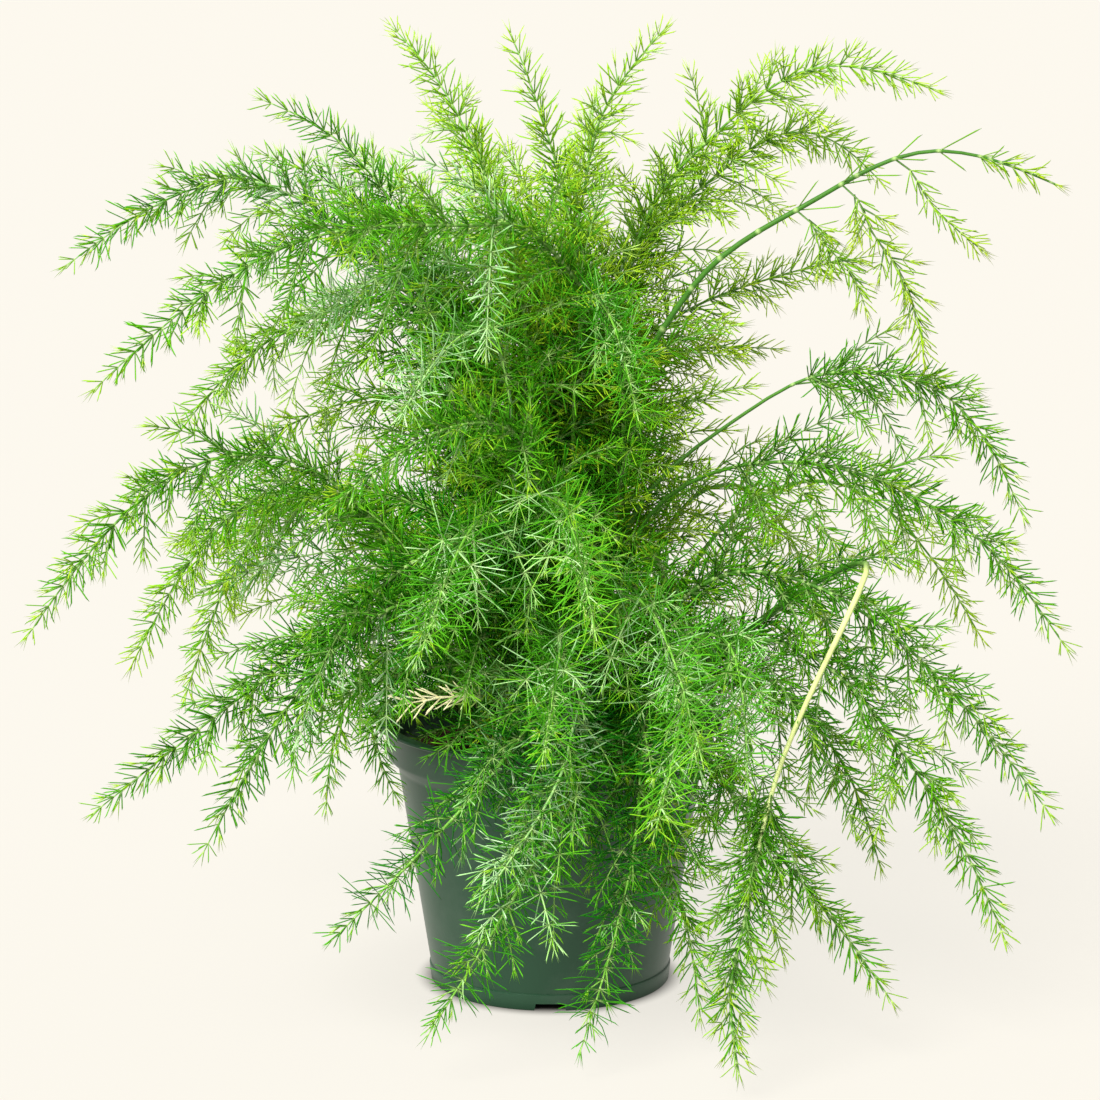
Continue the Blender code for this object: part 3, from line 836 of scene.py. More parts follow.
def whorl_values(left, point, base, look, rng):
    """What the tree needs for a whorl this far from its shoot's tip."""
    tip = max(0, 1 - left / (TIP_RUN * MM))
    out = outwardness(point)
    # Painted shade: whorls deep in the plant get older and darker, outer ones younger and lighter.
    age = base["age"] + TIP_AGE * tip**2 + PAINTED_DEPTH_SHADE * (out - DEPTH_SHADE_START)
    return {
        **base,
        "kind": whorl_kind(left, look[2], look[3], rng),
        "size": (1 - TIP_SHRINK * tip) * rng.uniform(*SIZE_DRAW),
        "turn": rng.uniform(0, math.tau),
        "face": rng.uniform(*STAR_FACE) if look[2] == "star" else 0,
        "node": 1,
        "age": age + rng.uniform(*AGE_DRAW),
        # Wax, partly a painted highlight, grows on outer needles and fades to the sides.
        "bloom_and_highlight": base["bloom_and_highlight"] * rise(out, *WAX_AND_HIGHLIGHT_RISE) * (1 - rise(abs(point.x), *WAX_AND_HIGHLIGHT_FADE)),
    }


def add_stem(chains, path, name, joints, base, look, rng, settings):
    """Adds a frond's main stem: bare at the foot, then a whorl and a pale joint at each shoot."""
    sparse = name in SET_SHOOTS
    bare_share = SET_BARE_SHARE if sparse else BARE_STEMS.get(name, BARE_SHARE)
    paired = (*look[:2], "pair", 0, *look[4:])
    half_joint = HALF_JOINT * MM
    marks = []
    for distance in sorted(joints):
        last = marks[-1][0] if marks else 0
        runs = math.ceil((distance - last) / (STRAIGHT_RUN * MM))
        for i in range(1 if marks else 0, runs):
            marks.append((last + (distance - last) * i / runs, {}))
        values = {"node": 1}
        point = path.at(distance)[0]
        left = path.length - distance
        if distance > path.length * bare_share and clear_of_pot(point, STEM_WHORL_ROOM * MM):
            values = whorl_values(left, point, base, look, rng)
        elif sparse and distance > path.length * SET_JOINTS[-3]:
            values = whorl_values(left, point, base, paired, rng)
        if BARE_END * MM < distance < path.length - BARE_END * MM:
            marks += [(distance - half_joint, {}), (distance, values), (distance + half_joint, {})]
        else:
            marks.append((distance, values))
    build = "set" if sparse else "cream" if name in CREAM_STEMS else "usual"
    root, loss, power = THINNING[build]
    start, end = CREAM_SPAN
    full = []
    for distance, values in marks:
        share = distance / path.length
        thick = settings.stem_radius * (root - loss * share**power)
        if values.get("node"):
            thick *= JOINT_SWELL
        values = {**base, "main": 1, "thick": thick, **values}
        ripe = rise(share, start, start + CREAM_EDGES[0])
        values["cream"] *= ripe * (1 - rise(share, end - CREAM_EDGES[1], end))
        values["bleach"] *= rise(share, *BLEACH_SPAN)
        full.append((distance, values))
    chains.add(path, full)


def add_shoot(chains, shoot, base, look, rng, settings):
    """Adds a side shoot with its whorls."""
    marks = [(0, {**base, "thick": settings.shoot_radius, "node": 0})]
    for mark in whorl_marks(shoot.length, FIRST_WHORL * MM, look[4], look[5], settings):
        values = dict(base)
        point = shoot.at(mark)[0]
        if clear_of_pot(point, SHOOT_WHORL_ROOM * MM):
            values = whorl_values(shoot.length - mark, point, base, look, rng)
        values["node"] = SHOOT_JOINT
        values["thick"] = settings.shoot_radius * (1 - SHOOT_THINNING * mark / shoot.length)
        marks.append((mark, values))
    chains.add(shoot, marks)


def tufts(path, start, end, gap, longest, taper, rng):
    """Short shoots along a stretch of stem, shorter and shorter towards its tip."""
    found = []
    distance = start
    turn = rng.uniform(0, 360)
    while distance < end:
        left = path.length - distance
        length = min(longest * MM, LEAST_TUFT * MM + left * taper) * rng.uniform(*TUFT_DRAW)
        point, along = path.at(distance)
        side = along.orthogonal().normalized()
        angle = math.radians(turn)
        out = side * math.cos(angle) + along.cross(side) * math.sin(angle)
        fork = math.radians(rng.uniform(*TUFT_FORK))
        way = along * math.cos(fork) + out * math.sin(fork)
        found.append((distance, Path([point, point + way * length * 0.5, point + way * length])))
        distance += gap * MM * rng.uniform(*GAP_DRAW)
        turn += GOLDEN_TURN
    return found


def wax_and_highlight(share, rng):
    """How waxy a shoot is, where this share of the shoots are: real wax and painted highlight."""
    return rng.uniform(*(WAX_AND_HIGHLIGHT_DRAW if rng.random() < share else PLAIN))


def frond_mesh(name, path, settings):
    """The lines of one frond, ready for the frond tree."""
    rng = random.Random(name + " looks")
    group = name.split("_")[0]
    look = GROUPS["set" if name in SET_SHOOTS else group]
    age, waxy, _, _, least, growth, tuft_gap = look
    age += rng.uniform(*AGE_DRAW) + AGE_AND_LIGHT_SHIFTS.get(name, 0)
    base = {"age": age, "bloom_and_highlight": wax_and_highlight(waxy, rng)}
    base["bleach"] = float(name == "bleached")
    base["olive"] = 1.0 if name in OLIVE_STEMS else SUNNED.get(name, SUNNED.get(group, 0))
    base["cream"] = float(name in CREAM_STEMS)
    chains = Chains()
    shoots = side_shoots(path, name)
    twigs = []
    joints = []
    last = shoots[-1][0]
    bare = path.length * BARE_STEMS.get(name, BARE_SHARE)
    tip_run = NEEDLED_TIP * MM
    tip_gap, longest, taper = TIP_TUFTS
    if name in SET_SHOOTS:
        joints = [path.length * share for share in SET_JOINTS]
        last = path.length * SET_BARE_SHARE
        margin = SHOOT_MARGIN * MM
        for _, shoot in shoots[:TUFTED_SHOOTS]:
            twigs += tufts(shoot, margin, shoot.length - margin, *SET_TUFTS, rng)
    elif name in CREAM_STEMS:
        tip_gap, longest, taper = BUSHY_TUFTS
        shoots += tufts(path, bare + tip_gap * MM, last, *BUSHY_TUFTS, rng)
    elif tuft_gap:
        shoots += tufts(path, bare + tuft_gap * MM, last, tuft_gap, MIDDLE_TUFT, taper, rng)
    if name == "bleached":
        tip_run = SPRIG_RUN * MM
    else:
        end = path.length - TIP_MARGIN * MM
        shoots += tufts(path, last + LAST_MARGIN * MM, end, tip_gap, longest, taper, rng)
    joints += [distance for distance, _ in shoots]
    marks = whorl_marks(tip_run, FIRST_TIP_WHORL * MM, least, growth, settings)
    joints += [path.length - tip_run + mark for mark in marks]
    add_stem(chains, path, name, joints, base, look, rng, settings)
    young_from = path.length - YOUNG_TIP_RUN * MM
    for distance, shoot in shoots + twigs:
        tint = {**base, "cream": 0, "bloom_and_highlight": wax_and_highlight(waxy, rng)}
        young = YOUNG_TIP_AGE * rise(distance, young_from, path.length)
        tint["age"] += rng.uniform(*SHOOT_AGE_DRAW) + young
        tint["bleach"] *= rise(distance / path.length, *BLEACH_SPAN)
        add_shoot(chains, shoot, tint, look, rng, settings)
    return chains.mesh(name)


def plain_mesh(name, mesh):
    """Turns a working mesh into a mesh of the file, and frees it."""
    made = bpy.data.meshes.new(name)
    mesh.to_mesh(made)
    mesh.free()
    return made


def whorl_object(name, pose, settings, rng):
    """A whorl of needles round +Z: even, a little bent, and pointed at the very end."""
    _, needles, lean, spread, long, wide_share = POSES[pose]
    mesh = bmesh.new()
    along = mesh.verts.layers.float.new("along")
    painted_glint = mesh.verts.layers.float.new("painted_glint")
    for i in range(needles):
        turn = math.tau * (i + rng.uniform(*NEEDLE_TURN_DRAW)) / needles
        angle = math.radians(lean + rng.uniform(-spread, spread))
        length = settings.needle_length * long * rng.uniform(*NEEDLE_DRAW)
        out = Vector((math.cos(turn), math.sin(turn), 0))
        way = out * math.sin(angle) + Vector((0, 0, math.cos(angle)))
        inward = Vector((0, 0, math.sin(angle))) - out * math.cos(angle)
        side = way.cross(inward)
        bend = inward * rng.uniform(*BEND_DRAW) + side * rng.uniform(*SIDE_BEND_DRAW)
        # A painted glint: some needles get a whitish highlight painted into their colour.
        bright = rng.uniform(*(PAINTED_GLINT if rng.random() < PAINTED_GLINT_SHARE else FAINT_GLINT))
        rings = STRAIGHT_NEEDLE
        if pose == "shut":
            rings = SHUT_NEEDLE
        elif pose == "star" and rng.random() < BENT_SHARE:
            rings = BENT_NEEDLE
        loops = []
        for share, wide in rings:
            centre = length * (way * share + bend * share * (share - BEND_START))
            loop = []
            for k in range(NEEDLE_SIDES if wide else 1):
                spin = math.tau * k / NEEDLE_SIDES
                rim = inward * math.cos(spin) + side * math.sin(spin)
                corner = mesh.verts.new(centre + rim * wide * wide_share * settings.needle_width)
                corner[along] = share
                corner[painted_glint] = bright
                loop.append(corner)
            loops.append(loop)
        mesh.faces.new(loops[0])
        for low, high in zip(loops, loops[1:]):
            for k in range(NEEDLE_SIDES):
                n = (k + 1) % NEEDLE_SIDES
                if len(high) == 1:
                    mesh.faces.new((low[k], low[n], high[0]))
                else:
                    mesh.faces.new((low[k], low[n], high[n], high[k]))
    bmesh.ops.recalc_face_normals(mesh, faces=mesh.faces)
    for face in mesh.faces:
        face.smooth = True
    return bpy.data.objects.new(name, plain_mesh(name, mesh))


def whorl_collection(settings):
    """All the whorl variants, named in the order in which the tree picks them."""
    made = bpy.data.collections.new("whorls")
    rng = random.Random("whorls")
    for pose, (count, *_) in POSES.items():
        for _ in range(count):
            name = f"whorl_{len(made.objects):02d}_{pose}"
            made.objects.link(whorl_object(name, pose, settings, rng))
    return made


def give_sockets(tree, inputs):
    """Gives a tree its geometry output and its inputs, and returns what the inputs send out."""
    tree.interface.new_socket("Geometry", in_out="OUTPUT", socket_type="NodeSocketGeometry")
    for name, kind in inputs.items():
        tree.interface.new_socket(name, in_out="INPUT", socket_type=kind)
    return add_node(tree, "NodeGroupInput").outputs


def frond_tree(whorls, stem_finish, needle_finish):
    """The node tree that grows stems and needle whorls on a frond's lines."""
    tree = bpy.data.node_groups.new("Frond", "GeometryNodeTree")
    given = give_sockets(tree, FROND_INPUTS)
    read = {}
    for name, kind in LINE_VALUES.items():
        node = add_node(tree, "GeometryNodeInputNamedAttribute", {"Name": name}, data_type=kind)
        read[name] = node.outputs["Attribute"]
    parts = {}
    for part, (name, operation, level) in LINE_TESTS.items():
        pair = {"A": read[name], "B": level}
        test = add_node(tree, "FunctionNodeCompare", pair, operation=operation)
        parts[part] = test.outputs["Result"]

    joined = add_node(tree, "GeometryNodeJoinGeometry")
    for part, sides in (("stem", "Stem sides"), ("shoot", "Shoot sides")):
        lines = add_node(
            tree,
            "GeometryNodeSeparateGeometry",
            {"Geometry": given["Geometry"], "Selection": parts[part]},
            domain="POINT",
        )
        curve = add_node(tree, "GeometryNodeMeshToCurve", {"Mesh": lines.outputs["Selection"]})
        ring = {"Resolution": given[sides], "Radius": 1}
        circle = add_node(tree, "GeometryNodeCurvePrimitiveCircle", ring, mode="RADIUS")
        skin = {
            "Curve": curve.outputs["Curve"],
            "Profile Curve": circle.outputs["Curve"],
            "Scale": read["thick"],
            "Fill Caps": True,
        }
        tube = add_node(tree, "GeometryNodeCurveToMesh", skin)
        tree.links.new(tube.outputs["Mesh"], joined.inputs["Geometry"])

    aim = add_node(tree, "FunctionNodeAlignRotationToVector", {"Vector": read["way"]}, axis="Z")
    spin = add_node(tree, "FunctionNodeAxisAngleToRotation", {"Angle": read["turn"]})
    turns = {"Rotation": aim.outputs["Rotation"], "Rotate By": spin.outputs["Rotation"]}
    turned = add_node(tree, "FunctionNodeRotateRotation", turns, rotation_space="LOCAL")
    sizes = {0: read["size"], 1: given["Needle scale"]}
    scale = add_node(tree, "ShaderNodeMath", sizes, operation="MULTIPLY")
    choice = {"Collection": whorls, "Separate Children": True, "Reset Children": True}
    variants = add_node(tree, "GeometryNodeCollectionInfo", choice)
    placing = {
        "Points": given["Geometry"],
        "Selection": parts["whorl"],
        "Instance": variants.outputs["Instances"],
        "Pick Instance": True,
        "Instance Index": read["kind"],
        "Rotation": turned.outputs["Rotation"],
        "Scale": scale.outputs["Value"],
    }
    needles = add_node(tree, "GeometryNodeInstanceOnPoints", placing)
    mark = {"Geometry": needles.outputs["Instances"], "Name": "needle", "Value": 1.0}
    marked = add_node(
        tree, "GeometryNodeStoreNamedAttribute", mark, data_type="FLOAT", domain="INSTANCE"
    )
    tree.links.new(marked.outputs["Geometry"], joined.inputs["Geometry"])

    real = add_node(tree, "GeometryNodeRealizeInstances", {"Geometry": joined.outputs["Geometry"]})
    bark = {"Geometry": real.outputs["Geometry"], "Material": stem_finish}
    barked = add_node(tree, "GeometryNodeSetMaterial", bark)
    green = {
        "Geometry": barked.outputs["Geometry"],
        "Selection": parts["needle"],
        "Material": needle_finish,
    }
    done = add_node(tree, "GeometryNodeSetMaterial", green)
    add_node(tree, "NodeGroupOutput", {"Geometry": done.outputs["Geometry"]})
    return tree


def set_input(modifier, name, value):
    """Sets a modifier's input by the name that its tree gives it."""
    for socket in modifier.node_group.interface.items_tree:
        if socket.in_out == "INPUT" and socket.name == name:
            modifier[socket.identifier] = value


def needle_material(settings):
    """Living asparagus needles, thin and waxy; some painted whitish as highlights in the deep
    green.
    """
    made, tree, shader = new_material("Asparagus needles, living and waxy", 0.5, 1.4)
    shader.inputs["Specular IOR Level"].default_value = 0.04
    read = {
        name: add_node(tree, "ShaderNodeAttribute", attribute_name=name).outputs["Fac"]
        for name in ("age", "olive", "bloom_and_highlight", "painted_glint", "along", "bleach")
    }
    ramp = add_node(tree, "ShaderNodeValToRGB", {"Fac": read["age"]})
    stops = ramp.color_ramp.elements
    stops[0].color = rgba(settings.old_and_shaded)
    stops[1].color = rgba(settings.young)
    middle = stops.new(GROWN_AGE)
    middle.color = rgba(settings.grown)
    sun = {"Factor": read["olive"], 6: ramp.outputs["Color"], 7: rgba(settings.sunned)}
    sunned = add_node(tree, "ShaderNodeMix", sun, data_type="RGBA", blend_type="MULTIPLY")
    # Painted highlight: the wax share times each needle's glint mixes in the pale mint colour.
    waxy = {0: read["bloom_and_highlight"], 1: read["painted_glint"]}
    wax_and_highlight = add_node(tree, "ShaderNodeMath", waxy, operation="MULTIPLY")
    # Needles are pale for the first few millimetres, where they leave the joint.
    fade = {"Value": read["along"], "From Min": 0, "From Max": 0.24, "To Min": 0.78, "To Max": 0}
    root = add_node(tree, "ShaderNodeMapRange", fade)
    colour = sunned.outputs[2]
    for share, paint in (
        (wax_and_highlight.outputs["Value"], settings.bloom_and_highlight),
        (root.outputs["Result"], settings.node),
        (read["bleach"], settings.bleached),
    ):
        layer = {"Factor": share, 6: colour, 7: rgba(paint)}
        colour = add_node(tree, "ShaderNodeMix", layer, data_type="RGBA").outputs[2]
    tree.links.new(colour, shader.inputs["Base Color"])
    # Bleached needles glow a little, a painted light that keeps them bright in the shade.
    faint = {0: read["bleach"], 1: PAINTED_GLOW}
    glow = add_node(tree, "ShaderNodeMath", faint, operation="MULTIPLY")
    shader.inputs["Emission Color"].default_value = rgba(settings.bleached)
    tree.links.new(glow.outputs["Value"], shader.inputs["Emission Strength"])
    return made


def stem_material(settings):
    """Asparagus stems: smooth living skin with fine mottles, pale at the joints."""
    made, tree, shader = new_material("Asparagus stem, living green skin", 0.42, 1.45)
    shader.inputs["Specular IOR Level"].default_value = 0.15
    read = {
        name: add_node(tree, "ShaderNodeAttribute", attribute_name=name).outputs["Fac"]
        for name in ("olive", "bloom_and_highlight", "cream", "node", "bleach")
    }
    for name in ("bloom_and_highlight", "node"):
        faint = {0: read[name], 1: STEM_PALENESS}
        weak = add_node(tree, "ShaderNodeMath", faint, operation="MULTIPLY")
        read[name] = weak.outputs["Value"]
    place = add_node(tree, "ShaderNodeTexCoord").outputs["Object"]
    # Mottles about 4 mm long.
    spots = {"Vector": place, "Scale": 250, "Detail": 3}
    mottle = add_node(tree, "ShaderNodeTexNoise", spots).outputs["Fac"]
    colour = rgba(settings.stem)
    # The stems' wax is partly real and partly a painted highlight.
    for share, paint in (
        (read["olive"], settings.olive),
        (read["bloom_and_highlight"], settings.bloom_and_highlight),
        (read["cream"], settings.cream),
    ):
        layer = {"Factor": share, 6: colour, 7: rgba(paint)}
        colour = add_node(tree, "ShaderNodeMix", layer, data_type="RGBA").outputs[2]
    level = add_node(tree, "ShaderNodeMapRange", {"Value": mottle, "To Min": 0.75, "To Max": 1.25})
    mottled = {"Color": colour, "Value": level.outputs["Result"]}
    colour = add_node(tree, "ShaderNodeHueSaturation", mottled).outputs["Color"]
    for share, paint in ((read["node"], settings.node), (read["bleach"], settings.bleached)):
        layer = {"Factor": share, 6: colour, 7: rgba(paint)}
        colour = add_node(tree, "ShaderNodeMix", layer, data_type="RGBA").outputs[2]
    tree.links.new(colour, shader.inputs["Base Color"])
    bump = add_node(tree, "ShaderNodeBump", {"Strength": 0.3, "Distance": 0.0002, "Height": mottle})
    tree.links.new(bump.outputs["Normal"], shader.inputs["Normal"])
    return made


def pot_outline(settings):
    """The pot's outline as radii and heights in millimetres, from the middle up and back."""
    height = settings.height / MM
    lip = settings.lip_radius / MM
    band = settings.band_radius / MM
    wall = settings.wall / MM
    band_foot = height - settings.band_height / MM
    wall_top = band_foot - STEP_HEIGHT
    return [
        (0, 5),
        (53.4, 5),
        (54.6, 5.6),
        (55.2, 7),
        (WALL_TOP_RADIUS - wall - 0.4, wall_top - 1),
        (WALL_TOP_RADIUS - wall + 0.6, wall_top + 0.6),
        (band - wall - 0.8, band_foot - 0.8),
        (band - wall, band_foot + 0.8),
        (band - wall + 0.1, height - 1),
        (band - wall + 0.5, height - 0.2),
        (band - wall + 1, height),
        (lip - 0.9, height),
        (lip - 0.3, height - 0.2),
        (lip, height - 0.8),
        (lip - 0.05, height - 1.4),
        (lip - 0.5, height - 1.85),
        (band + 1.4, height - 2.2),
        (band + 0.5, height - 2.7),
        (band + 0.15, height - 3.8),
        (band - 0.3, band_foot + 1),
        (band - 0.8, band_foot - 0.4),
        (WALL_TOP_RADIUS + 0.5, wall_top + 1),
        (WALL_TOP_RADIUS, wall_top - 1),
        (57.3, 8.6),
        (57.15, 8.1),
        (57.75, 7.7),
        (57.85, 7.2),
        (57.2, 0.6),
        (56.7, 0),
        (52.3, 0),
        (51.9, 0.4),
        (51.6, 3.1),
        (51.2, 3.5),
        (0, 3.5),
    ]


def lathe(outline, sides):
    """A closed round body turned from an outline that starts and ends on the axis."""
    mesh = bmesh.new()
    rings = []
    for radius, height in outline:
        ring = []
        for i in range(sides if radius else 1):
            angle = math.tau * i / sides
            place = (radius * math.cos(angle), radius * math.sin(angle), height)
            ring.append(mesh.verts.new(Vector(place) * MM))
        rings.append(ring)
    for low, high in zip(rings, rings[1:]):
        for i in range(sides):
            k = (i + 1) % sides
            if len(low) == 1:
                mesh.faces.new((low[0], high[i], high[k]))
            elif len(high) == 1:
                mesh.faces.new((low[i], low[k], high[0]))
            else:
                mesh.faces.new((low[i], low[k], high[k], high[i]))
    bmesh.ops.recalc_face_normals(mesh, faces=mesh.faces)
    return mesh


def notch_cutter():
    """Tapered blocks that cut the drainage notches out of the foot."""
    mesh = bmesh.new()
    for i in range(NOTCHES):
        block = bmesh.ops.create_cube(mesh, size=1)["verts"]
        turn = i * math.tau / NOTCHES
        for corner in block:
            narrow = 1 if corner.co.z < 0 else NOTCH_TAPER
            x = corner.co.x * NOTCH_WIDTH * narrow
            y = corner.co.y * NOTCH_DEPTH - NOTCH_REACH
            corner.co.z *= NOTCH_HEIGHT * MM
            corner.co.x = (x * math.cos(turn) - y * math.sin(turn)) * MM
            corner.co.y = (x * math.sin(turn) + y * math.cos(turn)) * MM
    return bpy.data.objects.new("notches", plain_mesh("notches", mesh))


def pot_material(settings):
    """Injection-moulded polypropylene: an even satin skin with a few clouds of dust."""
    made, tree, shader = new_material("Polypropylene, moulded satin", 0.34, 1.49)
    shader.inputs["Specular IOR Level"].default_value = 0.32
    place = add_node(tree, "ShaderNodeTexCoord").outputs["Object"]
    # Flow lines run down the wall, about 3 mm apart.
    long_way = add_node(tree, "ShaderNodeMapping", {"Vector": place, "Scale": (1, 1, 0.06)})
    along_wall = long_way.outputs["Vector"]
    # Clouds about 30 mm wide, a skin grain of about 0.6 mm, and the lines.
    fields = {}
    for name, field in (
        ("clouds", {"Vector": place, "Scale": 33, "Detail": 5, "Roughness": 0.6}),
        ("grain", {"Vector": place, "Scale": 1600, "Detail": 2}),
        ("lines", {"Vector": along_wall, "Scale": 330, "Detail": 2}),
    ):
        fields[name] = add_node(tree, "ShaderNodeTexNoise", field).outputs["Fac"]
    clouds = fields["clouds"]
    dustiness = {"Value": clouds, "From Min": 0.5, "From Max": 0.8, "To Min": 0.02, "To Max": 0.16}
    dusty = add_node(tree, "ShaderNodeMapRange", dustiness).outputs["Result"]
    layer = {"Factor": dusty, 6: rgba(settings.colour), 7: rgba(settings.dust)}
    colour = add_node(tree, "ShaderNodeMix", layer, data_type="RGBA")
    tree.links.new(colour.outputs[2], shader.inputs["Base Color"])
    sheen = add_node(tree, "ShaderNodeMapRange", {"Value": clouds, "To Min": 0.28, "To Max": 0.42})
    tree.links.new(sheen.outputs["Result"], shader.inputs["Roughness"])
    relief = {0: fields["lines"], 1: 0.5, 2: fields["grain"]}
    both = add_node(tree, "ShaderNodeMath", relief, operation="MULTIPLY_ADD").outputs["Value"]
    bump = add_node(tree, "ShaderNodeBump", {"Strength": 0.12, "Distance": 0.0002, "Height": both})
    tree.links.new(bump.outputs["Normal"], shader.inputs["Normal"])
    return made


def soil_material(settings):
    """Peat-based potting soil: dull crumbs, dark where damp, with paler dry fibres."""
    made, tree, shader = new_material("Potting soil, crumbly peat", 0.92, 1.35)
    shader.inputs["Specular IOR Level"].default_value = 0.25
    place = add_node(tree, "ShaderNodeTexCoord").outputs["Object"]
    # Crumbs of about 2 mm, and damp patches of about 20 mm.
    fields = []
    for field in ({"Scale": 500, "Detail": 4}, {"Scale": 50, "Detail": 2}):
        node = add_node(tree, "ShaderNodeTexNoise", {"Vector": place, **field})
        fields.append(node.outputs["Fac"])
    crumbs, patches = fields
    both = add_node(tree, "ShaderNodeMath", {0: crumbs, 1: patches}, operation="MULTIPLY")
    dryness = {"Value": both.outputs["Value"], "From Min": 0.12, "From Max": 0.45}
    level = add_node(tree, "ShaderNodeMapRange", dryness).outputs["Result"]
    layer = {"Factor": level, 6: rgba(settings.dark), 7: rgba(settings.pale)}
    colour = add_node(tree, "ShaderNodeMix", layer, data_type="RGBA")
    tree.links.new(colour.outputs[2], shader.inputs["Base Color"])
    bump = add_node(tree, "ShaderNodeBump", {"Strength": 0.8, "Distance": 0.001, "Height": crumbs})
    tree.links.new(bump.outputs["Normal"], shader.inputs["Normal"])
    return made


def paper_material(settings):
    """Matt background paper: even and pale, so that only the soft, partly painted shadow shows."""
    made, tree, shader = new_material("Background paper, matt", 0.95, 1.45)
    shader.inputs["Specular IOR Level"].default_value = 0
    place = add_node(tree, "ShaderNodeTexCoord").outputs["Object"]
    # Fibres under 1 mm long, just enough to keep the paper from looking blank.
    fibres = add_node(tree, "ShaderNodeTexNoise", {"Vector": place, "Scale": 1500, "Detail": 2})
    shades = {"Value": fibres.outputs["Fac"], "To Min": 0.085, "To Max": 0.09}
    level = add_node(tree, "ShaderNodeMapRange", shades).outputs["Result"]
    paper = {"Color": rgba(settings.floor), "Value": level}
    shade = add_node(tree, "ShaderNodeHueSaturation", paper)
    tree.links.new(shade.outputs["Color"], shader.inputs["Base Color"])
    shader.inputs["Emission Color"].default_value = rgba(settings.floor)
    # The paper's light fades under and round the pot: a painted shadow giving the foot a dark line.
    reach = add_node(tree, "ShaderNodeVectorMath", {0: place}, operation="LENGTH").outputs["Value"]
    glows = []
    for near, far, strength in PAPER_GLOW_AND_PAINTED_SHADOW:
        fade = {"Value": reach, "From Min": near, "From Max": far, "To Max": strength}
        glow = add_node(tree, "ShaderNodeMapRange", fade, interpolation_type="SMOOTHSTEP")
        glows.append(glow.outputs["Result"])
    total = add_node(tree, "ShaderNodeMath", {0: glows[0], 1: glows[1]})
    tree.links.new(total.outputs["Value"], shader.inputs["Emission Strength"])
    return made


def soil_mesh():
    """The soil plug: plain below, with a lumpy top."""
    rings = list(PLUG)
    edge = PLUG[-1][0]
    for i in range(SOIL_RINGS - 1, -1, -1):
        rings.append((edge * i / SOIL_RINGS, SOIL_TOP))
    mesh = lathe(rings, SOIL_SIDES)
    for corner in mesh.verts:
        if corner.co.z > LUMPY_FROM * MM:
            lift = 0
            for scale, octaves, height in LUMPS:
                lift += noise.fractal(corner.co * scale, 1, 2, octaves) * height
            corner.co.z += lift * MM
    return plain_mesh("soil", mesh)


def crumb_collection(rng):
    """Crumbs and short bark chips, rough and few-sided."""
    made = bpy.data.collections.new("crumbs")
    for i in range(CRUMB_KINDS):
        mesh = bmesh.new()
        bmesh.ops.create_icosphere(mesh, subdivisions=1, radius=0.5)
        stretch = (1, rng.uniform(*CRUMB_DEPTH), rng.uniform(*CRUMB_HEIGHT))
        if i >= CRUMB_KINDS - CHIP_KINDS:
            stretch = CHIP_STRETCH
        for corner in mesh.verts:
            corner.co *= rng.uniform(*CRUMB_ROUGHNESS)
            corner.co = Vector(a * b for a, b in zip(corner.co, stretch))
        name = f"crumb_{i}"
        made.objects.link(bpy.data.objects.new(name, plain_mesh(name, mesh)))
    return made


def crumb_tree(crumbs, finish):
    """The node tree that strews crumbs over the soil's top."""
    tree = bpy.data.node_groups.new("Crumbs", "GeometryNodeTree")
    given = give_sockets(tree, CRUMB_INPUTS)
    normal = add_node(tree, "GeometryNodeInputNormal").outputs["Normal"]
    up = add_node(tree, "ShaderNodeSeparateXYZ", {"Vector": normal}).outputs["Z"]
    on_top = add_node(tree, "FunctionNodeCompare", {"A": up, "B": 0.5}, operation="GREATER_THAN")
    spread = {
        "Mesh": given["Geometry"],
        "Selection": on_top.outputs["Result"],
        "Density": given["Crumbs"],
        "Seed": given["Seed"],
    }
    strewn = add_node(tree, "GeometryNodeDistributePointsOnFaces", spread)
    turns = {
        0: (-CRUMB_LEAN, -CRUMB_LEAN, 0),
        1: (CRUMB_LEAN, CRUMB_LEAN, math.tau),
        "Seed": given["Seed"],
    }
    turn = add_node(tree, "FunctionNodeRandomValue", turns, data_type="FLOAT_VECTOR")
    as_turn = add_node(tree, "FunctionNodeEulerToRotation", {"Euler": turn.outputs[0]})
    widths = {2: CRUMB_SIZES[0], 3: CRUMB_SIZES[1], "Seed": given["Seed"]}
    wide = add_node(tree, "FunctionNodeRandomValue", widths, data_type="FLOAT")
    sizes = {0: wide.outputs[1], 1: given["Crumb size"]}
    scale = add_node(tree, "ShaderNodeMath", sizes, operation="MULTIPLY")
    choice = {"Collection": crumbs, "Separate Children": True, "Reset Children": True}
    variants = add_node(tree, "GeometryNodeCollectionInfo", choice)
    placing = {
        "Points": strewn.outputs["Points"],
        "Instance": variants.outputs["Instances"],
        "Pick Instance": True,
        "Rotation": as_turn.outputs["Rotation"],
        "Scale": scale.outputs["Value"],
    }
    placed = add_node(tree, "GeometryNodeInstanceOnPoints", placing)
    joined = add_node(tree, "GeometryNodeJoinGeometry")
    for output in (given["Geometry"], placed.outputs["Instances"]):
        tree.links.new(output, joined.inputs["Geometry"])
    real = add_node(tree, "GeometryNodeRealizeInstances", {"Geometry": joined.outputs["Geometry"]})
    look = {"Geometry": real.outputs["Geometry"], "Material": finish}
    done = add_node(tree, "GeometryNodeSetMaterial", look)
    add_node(tree, "NodeGroupOutput", {"Geometry": done.outputs["Geometry"]})
    return tree


